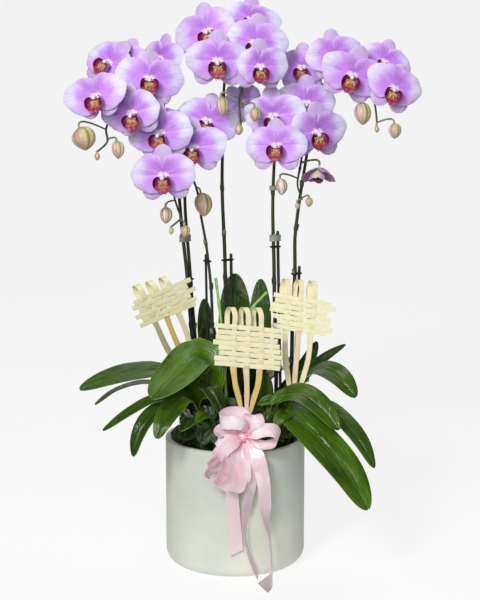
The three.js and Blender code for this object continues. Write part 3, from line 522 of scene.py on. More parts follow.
def sepal(build, degrees, width, length, cup, rng, tint):
    t = np.linspace(0.03, 0.996, 16)[:, None]
    s = np.linspace(-1, 1, 11)[None, :]
    out, aside = length * t, width / 2 * outline(t, 0.4, 0.58, 2.3) * s
    angle = math.radians(degrees + rng.uniform(-3, 3))
    x = out * math.cos(angle) - aside * math.sin(angle)
    y = out * math.sin(angle) + aside * math.cos(angle)
    z = -2 + cup * (x * x + y * y) - 1.8 * s**2 * t - 0.6 * bulge(s, 0, 0.12) * (1 - t)
    z = z + rng.uniform(0.4, 1.2) * t**2 * np.sin(4 * t + 2 * s + rng.uniform(0, 6))
    shell(build, np.stack([x, y, z], axis=-1), PETAL_THICK, (0, 0, 1), look=SEPAL, tint=tint)


def outline(share, foot, widest, blunt):
    """The half width of a leaf at a share of its length, from foot by the widest place to the tip."""
    return np.where(
        share < widest,
        foot + (1 - foot) * np.sin(math.pi / 2 * share / widest),
        np.sqrt(np.clip(1 - (np.abs(share - widest) / (1 - widest)) ** blunt, 0, 1)),
    )


def lip(build, rng, tint):
    # Two ears stand up beside the throat.
    edge = Curve(tuples("""4.6 -.5 8  8.6 -.6 12.8  12 -4 15.6  12.8 -9.5 16.2
                        11.6 -15 15.2  8.4 -18.2 12.8  5 -17.4 9.6"""))
    p = np.linspace(0, 1, 15)
    root = np.stack([2.6 + 0.9 * p, -3.5 - 11 * p, 4.8 + 2.8 * p], axis=-1)
    for hand in (-1, 1):
        rows = []
        for q in np.linspace(0, 1, 9):
            row = root + (edge.at(p) - root) * q
            row = row + np.array([3.2, 0.4, -2.2]) * math.sin(math.pi * q)
            row = row + np.array([0, 0, 0.5]) * np.sin(9 * p + rng.uniform(0, 6))[:, None] * q**3
            rows.append(row * np.array([hand, 1, 1]))
        shell(build, rows, 0.9, (-hand, 0.3, 0.7), look=EAR, tint=tint)
    # The tongue narrows to a blunt tip with two short whiskers.
    along, s = np.linspace(0, 1, 17), np.linspace(-1, 1, 13)
    half = np.interp(along, [0, 0.15, 0.35, 0.6, 0.8, 0.93, 1], [6.4, 10, 11, 9.4, 7.4, 5.2, 2.6])
    half = half + rng.uniform(-0.4, 0.4)
    lean = rng.uniform(-1.6, 1.6)
    rows = []
    for t, h in zip(along, half):
        z = 7.6 + 5.6 * math.sin(math.pi / 2 * t) + 2.0 * s**2 * (1 - 0.4 * t)
        z = z + 0.9 * bulge(s, 0, 0.16) - 2.6 * max(0, t - 0.6) + 0.12 * np.sin(9 * s + 5 * t)
        rows.append(np.stack([h * s + lean * t**2, -12.5 - 11.5 * t + 0.9 * s**2, z], axis=-1))
    shell(build, rows, 1.0, (0, 0, 1), look=LIP, tint=tint)
    for hand in (-1, 1):
        whisker = Curve([(x * hand, y, z) for x, y, z in tuples(
            ".8 -23.4 12  2.6 -25 13.4  4 -23.8 15.2  3.2 -22 15.6")]).even(9)
        tube(build, whisker + (lean, 0, 0), np.linspace(0.5, 0.2, 9), 6, look=LIP, tint=tint)
    # The throat: a dish with an uneven border, and two lumps on each side of a notch.
    rows, angle = [], np.linspace(0, 2 * math.pi, 25)
    for r in np.linspace(0.08, 1, 9):
        z = 6.6 + 4.6 * r**2 * (0.7 + 0.3 * np.cos(2 * angle)) + 0.4 * np.sin(5 * angle) * r
        rows.append(np.stack([7.4 * r * np.cos(angle), -10.6 + 6.0 * r * np.sin(angle), z], axis=-1))
    shell(build, rows, 0.8, (0, 0, 1), look=GOLD, tint=tint)
    for hand in (-1, 1):
        for (x, y, z), radii, turn in (((2.3, -11.4, 10.2), (2.1, 3.6, 2.9), 22),
                                       ((4.6, -8.4, 9.4), (1.5, 2.8, 2.2), -24)):
            ball(build, (x * hand, y, z), radii, spin("z", turn * hand), look=GOLD, tint=tint)


def bloom(name):
    at, face, changes = BLOOMS[name]
    data, build, rng = PLAIN_BLOOM | changes, Build(), random.Random(name)
    tint, cup = rng.random(), data["cup"]
    half_open = cup > 0
    if half_open:
        # Its lip points out of its cup.
        lip(build, rng, tint)
        build.turn(spin("x", -48), (0, -2, 4))
    for hand in (-1, 1):
        petal(build, hand, data, rng, tint)
    # A hooded bloom bends its upper sepal more than the others, and has it wider.
    for (degrees, width), share, hood in zip(SEPALS, data["sepals"], (data["hood"], 0, 0)):
        sepal(build, degrees, width + 160 * hood, SEPAL_LENGTH * share, cup + hood, rng, tint)
    if not half_open:
        lip(build, rng, tint)
    spine = Curve([(0, 0, -BLOOM_BACK), *tuples("0 0 -4  0 0 0  0 -.4 4  0 -1 8  0 -1.6 10.2")])
    radii = np.interp(np.linspace(0, 1, 12), [0, 0.3, 0.45, 0.7, 0.9, 1], [1.6, 2.2, 3.4, 2.6, 2.9, 2.9])
    tube(build, spine.even(12), radii, 14, round_ends=True, look=COLUMN, tint=tint)
    ball(build, (0, -2.8, 12.4), (2.9, 2.6, 2.2), look=COLUMN, tint=tint)
    for hand in (-1, 1):
        wing = spin("z", 14 * hand)
        ball(build, (4.6 * hand, -0.8, 2.6), (4.4, 2.6, 1.8), wing, look=COLUMN, tint=tint)
    build.turn(turn_of(face) * data["size"], at)
    build.finish(name, "petal", HALF_OPEN_PAINTS if half_open else OPEN_PAINTS)


# Flower stems, with their stalks and buds

# Each: its radius at the foot and at the tip, and the points on its way. Each bud: its place, its width
# and length, and its lean.
SPIKES = {
    "spike_left": (3.2, 1.4, """
        -60 -8 120  -61 -9 250  -63 -10 340  -68 -14 412  -75 -18 487  -80 -24 550  -88 -33 620
        -96 -42 665  -107 -52 690  -124 -60 700  -144 -66 694  -160 -72 682  -172 -78 664  -178 -84 648
        -176 -92 632  -188 -100 620""",
        "-209 -112 639 34 33 .3  -162 -100 623 18 26 .1  -190 -103 613 8 11 0"),
    "spike_middle": (3, 1.3, """
        -54 4 120  -56 2 250  -59 0 340  -64 -4 410  -69 -9 486  -72 -16 549  -70 -26 608  -72 -36 646
        -80 -46 658  -90 -54 645  -94 -62 618  -91 -70 584  -85 -78 555  -79 -84 536  -75 -87 525
        -80 -89 520  -88 -91 514""",
        "-97 -86 530 18 24 0  -70 -93 508 14 18 0  -89 -93 508 7 10 0"),
    "spike_slender": (2.6, 1.4, """
        -33 -28 120  -32 -29 292  -33 -31 354  -34 -34 414  -39 -38 460  -43 -41 492  -48 -44 523
        -51 -46 548  -56 -47 566  -62 -46 582  -62 -44 598  -56 -42 618  -46 -38 638""",
        "-46 -66 543 26 34 .15"),
    "spike_top": (3.2, 1.3, """
        -11 10 120  -10 10 331  -13 8 391  -15 5 453  -18 2 540  -18 0 620  -16 -3 690  -12 -6 730
        -6 -12 750  4 -20 757  14 -32 752  17 -44 738  14 -56 716  9 -74 700  6 -90 685  8 -96 668
        9 -97 651""",
        "-18 -90 682 18 28 .1  27 -112 672 16 21 0  5 -98 650 12 16 0"),
    "spike_centre": (3.2, 1.3, """
        62 10 120  61 9 250  60 8 324  58 6 392  55 0 518  56 -6 594  58 -14 640  64 -24 674  76 -34 690
        90 -42 682  97 -50 658  96 -60 628  92 -68 596  88 -76 570  94 -82 551""",
        "64 -86 570 17 24 .1  103 -86 548 11 14 0  87 -84 542 7 9 0"),
    "spike_right": (3.2, 1.3, """
        80 10 120  83 6 300  85 5 377  87 4 432  87 2 483  90 0 511  98 -7 575  106 -16 628  114 -26 671
        122 -34 700  138 -42 718  160 -50 724  180 -58 714  192 -68 694  196 -78 672  197 -84 658""",
        "175 -88 672 24 32 .1  220 -92 648 18 22 0  196 -88 649 7 9 0"),
}
CARRIED_BY = {"bloom_middle_3": "spike_slender", "bloom_middle_4": "spike_slender"}
JOINT_FIRST, JOINT_STEP = 95, 66
STEM, STALK, BUD = range(3)


def stalk(build, start, end, arriving, radius, thick_end=1.0):
    """A thin stalk from the stem that reaches its bud or bloom head on."""
    straight = end - arriving * 2.5
    bend = straight - arriving * np.linalg.norm(end - start) * 0.4
    t = np.linspace(0, 1, 12)[:, None]
    path = np.vstack([(1 - t) ** 2 * start + 2 * t * (1 - t) * bend + t**2 * straight, end])
    tube(build, path, radius * np.linspace(0.9, thick_end, len(path)), 8, look=STALK)


def bud(build, top, hang, width, length, rng):
    share = np.linspace(0, 1, 19)
    side = frames(np.array([top, top + hang]))[0][0]
    bent = np.sin(math.pi * share)[:, None] * side * width * 0.05
    path = top + hang * (share * length)[:, None] + bent
    radii = width / 2 * np.interp(share, [0, 0.05, 0.14, 0.3, 0.48, 0.66, 0.82, 0.93, 1],
                                  [0.14, 0.36, 0.72, 0.95, 1, 0.9, 0.64, 0.34, 0.05])

    def lobes(angle, t):
        """Three outer leaves meet in shallow seams."""
        fade, seam = math.sin(math.pi * t), math.cos(3 * angle) ** 2
        return 1 + 0.035 * fade * math.cos(3 * angle) - 0.03 * fade * seam**8

    # The first of two draws isn't used, and keeps the second as it was.
    _, tint = rng.random(), rng.random()
    tube(build, path, radii, 24, lobes=lobes, look=BUD, tint=tint, start=side)


def spike(name):
    thick, thin, route, buds = SPIKES[name]
    build, rng, curve = Build(), random.Random(name), Curve(tuples(route))
    share = np.linspace(0, 1, int(curve.length / 3))
    radii = thick + (thin - thick) * share**1.5
    # Joints every few fingers' width, each with a small dry scale.
    first = JOINT_FIRST + rng.uniform(0, 30)
    for joint in np.arange(first, curve.length - 30, JOINT_STEP):
        off = share * curve.length - joint
        radii = radii + 0.55 * bulge(off, 0, 2.2) + 0.35 * bulge(off, 4, 4)
    wobble = np.stack([np.sin(share * 31 + k * 2) * 0.35 for k in range(3)], axis=-1)
    path = curve.at(share) + wobble * np.minimum(1, share * 8)[:, None]
    tube(build, path, radii, 12, look=STEM, tint=rng.random(), by_length=True, round_ends=True)
    for joint in np.arange(first, curve.length - 60, JOINT_STEP):
        scale_leaf(build, curve, joint, thick)
    for x, y, z, width, length, lean in tuples(buds, 6):
        hang = unit(np.array([lean, -0.25, -1.0]))
        top = np.array([x, y, z]) - hang * length * 0.45
        stalk(build, curve.nearest((x, y, z + length * 0.7)), top + hang * 1.5, hang, 1.25, 1.25)
        bud(build, top, unit(np.array([x, y, z]) - top), width, length, rng)
    for bloom_name, (at, face, changes) in BLOOMS.items():
        if CARRIED_BY.get(bloom_name, "spike_" + bloom_name.split("_")[1]) == name:
            looks = turn_of(face) @ np.array([0, 0, 1])
            back = np.array(at) - looks * (BLOOM_BACK * changes.get("size", 1) + 0.3)
            stalk(build, curve.nearest(back), back, looks, 1.6)
    build.finish(name, "stem", ("stem", "stalk", "bud"))


def scale_leaf(build, curve, joint, radius):
    """A short pointed scale that wraps a joint of the stem."""
    share = joint / curve.length
    along = curve.along(share)
    side = unit(np.cross(along, [math.cos(joint), math.sin(joint), 0.2]))
    out = np.cross(side, along)
    radius = radius * (1 - 0.5 * share**1.5)
    rows = []
    for t in np.linspace(0, 1, 7):
        spread = 1.5 * (1 - t) ** 0.6
        middle, r = curve.at(share) + along * (9 * t - 1), radius + 0.6 + 0.9 * t
        rows.append([middle + (out * math.cos(a) + side * math.sin(a)) * r
                     for a in np.linspace(-spread, spread, 7)])
    rows[-1] = [rows[-1][3] + side * 0.1 * (k - 3) for k in range(7)]
    shell(build, rows, 0.5, look=STALK, tint=0.1)


# Leaves

POT_RADIUS, POT_HEIGHT, POT_WALL, POT_FOOT, POT_FLOOR, POT_LIP = 103, 190, 8, 20, 14, 2.5
LEAF_THICK, LEAF_KEEL, CROWN_REACH = 1.7, 0.2, 92
# Each plant: its collar, how many small leaves fill its crown, the degrees between which others lie
# along the rim, and its large leaves, with the width, the tint, where the upper face looks, and the spine.
PLANTS = {
    "plant_left": dict(collar=(-46, -46), crown=40, rim=(186, 272), leaves="""
    64 .95  -.25 -.75 .7  -46 -46 190  -42 -48 262  -40 -52 306  -54 -66 323  -84 -108 304  -115 -148 280
    46 .55  -.1 -.45 1  -48 -44 190  -70 -46 260  -108 -60 299  -142 -80 302  -178 -95 296  -219 -108 284
    26 .1  .2 .5 1  -50 -40 190  -82 -50 255  -122 -64 283  -168 -74 276  -200 -82 256
    27 .6  -.1 -.2 1  -50 -48 190  -78 -66 252  -107 -86 266  -149 -104 250  -186 -118 227
    34 .3  -.5 -.5 .6  -48 -50 190  -72 -78 250  -100 -102 258  -122 -120 244  -136 -130 220  -143 -134 194
    34 .6  .1 -.5 1  -46 -52 190  -56 -78 250  -72 -98 272  -90 -120 258  -102 -136 240  -109 -143 222
    36 .15  .5 -.5 .8  -42 -50 190  -46 -64 250  -40 -78 280  -27 -88 266  -18 -93 244
    26 .1  0 -.7 .7  -38 -48 190  -24 -54 232  -6 -58 250  6 -59 244
    26 .2  0 -.3 1  -44 -52 190  -50 -80 226  -62 -104 238  -76 -118 226
    20 .75  .2 -.5 1  -42 -52 190  -36 -78 232  -44 -100 246  -56 -112 238"""),
    "plant_back": dict(collar=(10, 44), crown=26, rim=(20, 160), leaves="""
    52 .45  0 -1 .15  8 46 186  2 52 280  0 56 360  -1 62 422
    36 .3  .1 -1 .15  14 44 186  30 46 280  37 52 360  38 60 414
    30 .3  -.2 -1 .2  4 42 186  -22 34 260  -40 26 330  -46 26 390
    40 .1  0 -1 .5  16 42 186  26 22 244  31 4 280  33 -6 304
    28 .15  .2 -1 .2  4 40 186  -24 24 250  -44 14 316  -40 14 362
    26 .1  -.3 -1 .4  16 40 186  70 36 240  106 30 290  122 32 324
    48 .5  -.1 .3 1  8 50 186  -10 80 262  -38 118 274  -72 156 236
    46 .6  .1 .3 1  14 50 186  40 78 250  74 108 268  112 138 238"""),
    "plant_right": dict(collar=(60, -30), crown=34, rim=(272, 352), leaves="""
    56 .85  .3 -.7 .6  58 -34 190  62 -54 246  88 -80 236  121 -104 208  160 -128 166  188 -140 118
    42 .7  .1 -.6 1  60 -34 190  66 -68 262  92 -88 274  122 -104 257  147 -118 228
    36 .6  .3 -.5 1  66 -24 190  98 -20 236  126 -44 246  158 -72 226  182 -92 200  199 -102 168
    46 .55  .1 -.5 1  66 -24 190  92 -14 266  123 -41 297  150 -71 291  172 -88 268
    24 .1  -.3 -.6 1  66 -20 190  92 -8 266  126 -12 304  161 -18 330
    20 .4  0 -1 .2  52 -36 190  44 -52 236  46 -58 276  42 -60 300
    19 .8  0 -.8 1  56 -36 190  60 -62 236  52 -72 260  32 -74 254
    20 .9  -.2 -.8 1  60 -38 190  72 -60 244  76 -70 268  64 -79 268  50 -84 256
    22 .85  0 -.8 1  58 -38 190  64 -66 226  73 -82 242  64 -90 239  56 -94 228"""),
}


def leaf(build, spine, width, face, tint, rows=36, columns=17):
    rng = random.Random(str((spine[-1], 0)))
    curve, looks = Curve(spine), unit(np.array(face, float))
    share = np.sin(math.pi / 2 * np.linspace(0.02, 1, rows) ** 1.15)
    share[-1] = 0.9985
    half = width / 2 * outline(share, 0.36, 0.6, 2.2)
    along = curve.along(share)
    side = unit(np.cross(along, looks))
    normal = np.cross(side, along)
    s = np.linspace(-1, 1, columns)
    s = np.sign(s) * np.abs(s) ** 0.9
    wave = rng.uniform(0.5, 1.3) * np.sin(9 * share + rng.uniform(0, 6))
    rise = LEAF_KEEL * half[:, None] * np.abs(s) ** 1.1 * (1 - 0.5 * s**2) ** 0.5
    rise = rise + wave[:, None] * s**2 * (width / 40)
    rise = rise - 0.9 * bulge(s, 0, 0.07) + rng.uniform(-1, 1) * s * share[:, None]
    grid = curve.at(share)[:, None] + side[:, None] * (half[:, None] * s)[..., None]
    grid = grid + normal[:, None] * rise[..., None]
    shell(build, grid, LEAF_THICK, looks, rim=0.35, grow=(share[:, None], s[None, :]), tint=tint)


def plant(name):
    data, build = PLANTS[name], Build()
    x, y = data["collar"]
    tube(build, [(x, y, z) for z in (120, 150, 176, 190, 198)], [13, 13, 13, 12.4, 9], 20,
         round_ends=True, tint=0.05)
    for line in data["leaves"].strip().splitlines():
        width, tint, *rest = numbers(line)
        leaf(build, tuples(rest[3:]), width, rest[:3], tint)
    # Small dark leaves fill the crown between the large ones.
    rng = random.Random(name)
    for _ in range(data["crown"]):
        turn = rng.uniform(0, 2 * math.pi)
        out = np.array([math.cos(turn), math.sin(turn)])
        reach, top = rng.uniform(26, 46), rng.uniform(34, 62)
        start = np.array([x, y]) + out * 5
        spine = [(*start, 190), (*(start + out * reach * 0.35), 190 + top * 0.7),
                 (*(start + out * reach * 0.75), 190 + top),
                 (*(start + out * reach), 190 + top * rng.uniform(0.55, 0.95))]
        if max(abs(start + out * reach)) > CROWN_REACH:
            continue
        leaf(build, spine, rng.uniform(14, 24), (0.2 * out[0], 0.2 * out[1] - 0.2, 1),
             rng.uniform(0, 0.3), rows=14, columns=9)
    # Others lie along the rim, and hide the inside of the pot.
    for degrees in np.arange(*data["rim"], 5):
        turn = math.radians(degrees + rng.uniform(-5, 5))
        out, rise = np.array([math.cos(turn), math.sin(turn)]), rng.uniform(4, 30)
        start = out * rng.uniform(44, 60)
        spine = [(*start, 176), (*(out * 72), 188 + rise * 0.8), (*(out * 84), 190 + rise),
                 (*(out * rng.uniform(90, 98)), 193 + rise * rng.uniform(0.1, 0.75))]
        leaf(build, spine, rng.uniform(18, 28), (0.3 * out[0], 0.3 * out[1] - 0.2, 1),
             rng.uniform(0, 0.35), rows=14, columns=9)
    build.finish(name, "leaf", ["leaf"])


# Pot and bark

def pot():
    inner, foot, profile = POT_RADIUS - POT_WALL, POT_FOOT, [(0.5, 0)]
    for angle in np.radians(range(0, 91, 6)):
        profile.append((POT_RADIUS - foot * (1 - math.sin(angle)), foot * (1 - math.cos(angle))))
    profile += [(POT_RADIUS, z) for z in np.linspace(26, POT_HEIGHT - 4, 12)]
    for first, edge, hand in ((0, POT_RADIUS, -1), (90, inner, 1)):
        for angle in np.radians(range(first, first + 91, 15)):
            r = edge + hand * POT_LIP * (1 + hand * math.cos(angle))
            profile.append((r, POT_HEIGHT - POT_LIP * (1 - math.sin(angle))))
    profile += [(inner, POT_HEIGHT - 12), (inner, POT_HEIGHT - 60), (inner, POT_FLOOR), (0.5, POT_FLOOR)]
    r, z = np.array(profile).T[:, :, None]
    angle = np.arange(144) * 2 * math.pi / 144
    grid = np.stack(np.broadcast_arrays(r * np.cos(angle), r * np.sin(angle), z), axis=-1)
    build = Build()
    skin(build, grid, np.zeros(grid.shape))
    build.finish("pot", "ceramic", ["ceramic"], sharp=40)


def bark():
    """A bed with an uneven top, and chips on it."""
    build, rng = Build(), random.Random("bark")
    edge = POT_RADIUS - POT_WALL - 0.4
    angle = np.arange(49) * 2 * math.pi / 48
    rows = [(r, np.full(49, 100.0)) for r in (0.03, 1)]
    for r in np.linspace(1, 0.03, 14):
        rows.append((r, 167 + 3 * (1 - r) + 1.4 * np.sin(5 * angle + 9 * r) * min(1, 8 * (1 - r))))
    shell(build, [np.stack([edge * r * np.cos(angle), edge * r * np.sin(angle), z], axis=-1)
                  for r, z in rows], 0.1)
    for _ in range(420):
        turn, reach = rng.uniform(0, 2 * math.pi), math.sqrt(rng.random()) * (edge - 7)
        size = rng.uniform(4, 8.5)
        tilt = spin("z", rng.uniform(0, 360))
        tilt = tilt @ spin("x", rng.uniform(-40, 40)) @ spin("y", rng.uniform(-40, 40))
        z = 170 + 3 * (1 - reach / edge) + rng.uniform(-1.5, 5)
        radii = (size, size * rng.uniform(0.5, 0.8), size * rng.uniform(0.25, 0.5))
        ball(build, (reach * math.cos(turn), reach * math.sin(turn), z), radii, tilt,
             rings=5, sides=7, rough=0.22, rng=rng, tint=rng.random())
    build.finish("potting_medium", "bark", ["bark"], sharp=30)


# Stakes, ties, clips and shoots

# The ends and the radius of each.
STAKES = {
    "stake_slender": ((-37, -20, 120), (-42, -32, 464), 1.8),
    "stake_top": ((-1, 16, 120), (-6, 11, 458), 2.2),
    "stake_centre": ((70, 12, 120), (62, 6, 492), 2.2),
    "stake_right": ((83, 20, 120), (94, 9, 440), 2.2),
}
# What each tie or clip holds, its height, and how tall a clip is.
TIES = {
    "tie_left": (("spike_left", "spike_middle"), 425),
    "tie_slender": (("spike_slender", "stake_slender"), 456),
    "tie_top": (("spike_top", "stake_top"), 451),
    "tie_centre": (("spike_centre", "stake_centre"), 471),
    "tie_right": (("spike_right", "stake_right"), 431),
}
CLIPS = {
    "clip_left": (("spike_left", "spike_middle"), 486, 9),
    "clip_centre": (("spike_centre", "stake_centre"), 484, 9),
    "clip_small": (("spike_centre",), 558, 6),
}
SHOOTS = {
    "shoot_left": ["-13 -36 120  -13 -36 250  -20 -35 365  -28 -20 429"],
    "shoot_right": ["18 -24 120  18 -24 250  17 -32 372  23 -38 386  46 -30 410"],
}
RING_GAP = 1.7


def passing(name, height):
    """Where a stem or a stake passes a height, and its radius."""
    if name in STAKES:
        start, end, radius = STAKES[name]
        points = np.array([start, end], float)
    else:
        radius, _, route, _ = SPIKES[name]
        points = Curve(tuples(route)).points
        points = points[:int(np.argmax(points[:, 2])) + 1]
    return np.array([np.interp(height, points[:, 2], points[:, k]) for k in (0, 1)]), radius


def ring_path(names, height, count):
    """A closed way round one or two rods."""
    spots = [passing(name, height) for name in names]
    middle = sum(xy for xy, _ in spots) / len(spots)
    rays = np.array([[math.cos(a), math.sin(a)] for a in np.arange(count) * 2 * math.pi / count])
    reach = np.array([max((xy - middle) @ ray + radius + RING_GAP for xy, radius in spots) for ray in rays])
    # The reach is that of the edge line, not of the point, which lies aside by the slope.
    slope = (np.roll(reach, -1) - np.roll(reach, 1)) / (4 * math.pi / count)
    aside = np.stack([-rays[:, 1], rays[:, 0]], axis=-1)
    flat = middle + rays * reach[:, None] + aside * slope[:, None]
    return np.column_stack([flat, np.full(count, float(height))])


def closed_band(build, path, height, wall):
    """A ring of rectangular section with softened edges."""
    outward = unit(path - path.mean(axis=0))
    a, b = np.array(tuples("-.5 -.35  -.35 -.5  .35 -.5  .5 -.35  .5 .35  .35 .5  -.35 .5  -.5 .35", 2)).T
    up = np.array([0, 0, 1])
    points = path[:, None] + outward[:, None] * a[:, None] * wall + up * b[:, None] * height
    index = np.arange(points.size // 3).reshape(points.shape[:2])
    beside = np.roll(index, -1, axis=1)
    faces = np.stack([index, beside, np.roll(beside, -1, axis=0), np.roll(index, -1, axis=0)], axis=-1)
    points = points.reshape(-1, 3)
    build.add(points, faces.reshape(-1, 4), np.zeros(points.shape))


def stake(build, start, end, radius):
    tube(build, Curve([start, end]).even(24), radius, 14, round_ends=True, by_length=True)


def tie(build, names, height):
    """Two turns of wire, with its ends twisted and spread."""
    for offset in (-0.5, 0.5):
        path = ring_path(names, height + offset, 36)
        tube(build, np.vstack([path, path[0]]), 0.5, 8, by_length=True)
    end = ring_path(names, height, 36)[26]
    for lift in (1, -1):
        twist = Curve([end, end + (0.8, -2, 1.5 * lift), end + (2.2, -3.4, 4 * lift)])
        tube(build, twist.even(8), 0.45, 8, round_ends=True, by_length=True)


def clip(build, names, height, tall):
    """A ring with a thicker edge above and below."""
    path = ring_path(names, height, 48)
    closed_band(build, path, tall, 1.1)
    for offset in (-tall * 0.42, tall * 0.42):
        closed_band(build, path + (0, 0, offset), 1.2, 2.0)


def shoot(build, route):
    share = np.linspace(0, 1, 60)
    radii = 2 + 0.25 * np.sin(share * 40) * 0.4
    for joint in (0.45, 0.7, 0.88):
        radii = radii + 0.7 * bulge(share, joint, 0.012)
    tube(build, Curve(tuples(route)).at(share), radii, 12, by_length=True)


# Woven ornaments

# Each: the foot of its mat's frame and how that is turned, the legs' length, the rows and their pitch, how
# far the mat lies aside, its slope, length and arch, the stem, and the paints of the legs.
ORNAMENTS = {
    "ornament_centre": dict(
        foot=(16, -81, 250), right=(1, 0, -0.08), up=(0.02, 0.08, 1), leg=59, rows=8, pitch=7.6,
        aside=3, slope=-0.065, long=92, arch=25,
        handle="15 -76 120  15 -76 190  15 -80 240", seed=5, strips=(2, 3, 2),
    ),
    "ornament_right": dict(
        foot=(86, -50, 267), right=(0.98, -0.2, -0.14), up=(0.08, 0.2, 1), leg=86, rows=7, pitch=7.4,
        aside=3, slope=-0.1, long=86, arch=24,
        handle="78 -38 120  78 -38 196  84 -48 258", seed=9, strips=(1, 3, 1),
    ),
    "ornament_left": dict(
        foot=(-64, -22, 281), right=(0.9, -0.1, 0.45), up=(-0.3, -0.3, 0.9), leg=110, rows=6, pitch=7.5,
        aside=5, slope=0.11, long=88, arch=15,
        # Its left leg has painted shade: a greyer copy of the bamboo colour.
        handle="-66 -22 120  -66 -22 240  -63 -20 272", seed=13, strips=(4, 2, 1),
    ),
}
BAMBOO_PAINTS = ("bamboo", "bamboo_cream", "bamboo_gold", "bamboo_pink", "bamboo_shaded", "stem")
WARP_STEP, WARP_WIDTH, WARP_POINTS, WEAVE_DEPTH = 19, 7.4, 110, 0.9


def draw_from(seed):
    """The same numbers each time, in the order in which the solids draw them."""
    state = seed

    def draw(low, high):
        nonlocal state
        state = (state * 1664525 + 1013904223) % 4294967296
        return low + (high - low) * state / 4294967296

    return draw


def ornament(name):
    data, build = ORNAMENTS[name], Build()
    draw, rng = draw_from(data["seed"]), random.Random(name)
    rise = unit(np.array(data["up"], float))
    across = np.array(data["right"], float)
    across = unit(across - rise * (across @ rise))
    axes = np.array([across, rise, np.cross(across, rise)])
    leg, rows, pitch = data["leg"], data["rows"], data["pitch"]
    mat_top = leg + rows * pitch
    top = mat_top + data["arch"]

    def place(points):
        return np.array(points, float) @ axes + np.array(data["foot"], float)

    # Three strips go up in front, bend over at the top and come down behind.
    for i in (-1, 0, 1):
        x = WARP_STEP * i
        path = Curve([
            (5 * i, -7, 1.4), (11 * i, leg * 0.25, 3.2), (17 * i, leg * 0.6, 5.6), (x, leg + 4, 7),
            (x, mat_top - 4, 7), (x, top - 10, 7), (x - 2, top - 3, 4.5), (x - 5.5, top, 0),
            (x - 9, top - 3, -4.5), (x - 11, top - 10, -7), (x - 9, mat_top - 12, -3),
            (x - 2, leg + 2, 3), (16.5 * i, leg * 0.6, 2.6), (10.5 * i, leg * 0.25, 0.4), (5 * i, -7, -1.4),
        ]).even(WARP_POINTS)
        woven = (path[:, 2] > 5.9) & (path[:, 1] > leg - 3) & (path[:, 1] < mat_top + 3)
        weave = WEAVE_DEPTH * np.cos(math.pi * ((path[:, 1] - leg) / pitch - 0.5 + i))
        path[:, 2] = path[:, 2] + np.where(woven, weave, 0)
        path[:, 0] = path[:, 0] + 0.6 * np.sin(path[:, 1] / 17 + rng.uniform(0, 6))
        share = np.linspace(0, 1, WARP_POINTS)
        width = WARP_WIDTH * np.clip(0.6 + 5 * np.minimum(share, 1 - share), 0, 1)
        tint = rng.random()
        # The front leg has its own paint.
        first = int(np.argmin(path[:, 1] < leg + 1))
        for part, look in ((slice(first + 1), data["strips"][i + 1]), (slice(first, None), 1)):
            band(build, place(path[part]), across, width[part], 1.1, look=look, tint=tint)
    # Splints go over and under them.
    for row in range(rows):
        middle = data["aside"] + draw(-5, 5)
        half = data["long"] / 2 + draw(-3, 2)
        lie = data["slope"] + rng.uniform(-0.012, 0.012)
        a = middle + np.linspace(-half, half, 72)
        inside = np.clip((31 - np.abs(a)) / 8, 0, 1)
        depth = 7 - WEAVE_DEPTH * inside * np.cos(math.pi * (a / WARP_STEP + row))
        depth = depth + rng.uniform(-0.4, 0.4) * (a / 48) ** 2
        height = leg + (row + 0.5) * pitch + a * lie + rng.uniform(-0.4, 0.4)
        height = height + 0.25 * np.sin(a / 9 + rng.uniform(0, 6))
        band(build, place(np.stack([a, height, depth], axis=-1)), rise,
             pitch - rng.uniform(0.3, 1.1), 1.3, tint=rng.random())
    stem = Curve(np.vstack([tuples(data["handle"]), place([(0, -6, 0)])]))
    tube(build, stem.even(30), 3.4, 14, round_ends=True, look=BAMBOO_PAINTS.index("stem"))
    # Four turns of a strip bind the legs to the stem.
    angle = np.linspace(0, 2 * math.pi, 25)
    for k, height in enumerate((-8, -5.2, -2.4, 0.4)):
        ring = np.stack([6.6 * np.cos(angle), np.full(25, height), 3.6 * np.sin(angle)], axis=-1)
        tube(build, place(ring), 1.0, 8, look=BAMBOO_PAINTS.index("bamboo_pink"), tint=0.2 * k)
    build.finish(name, "bamboo", BAMBOO_PAINTS, sharp=45)


# Satin bow: loops, knot and three tails of one ribbon

KNOT = np.array([12.0, -100.0, 214.0])
RIBBON_WIDTH, RIBBON_THICK = 19, 0.5
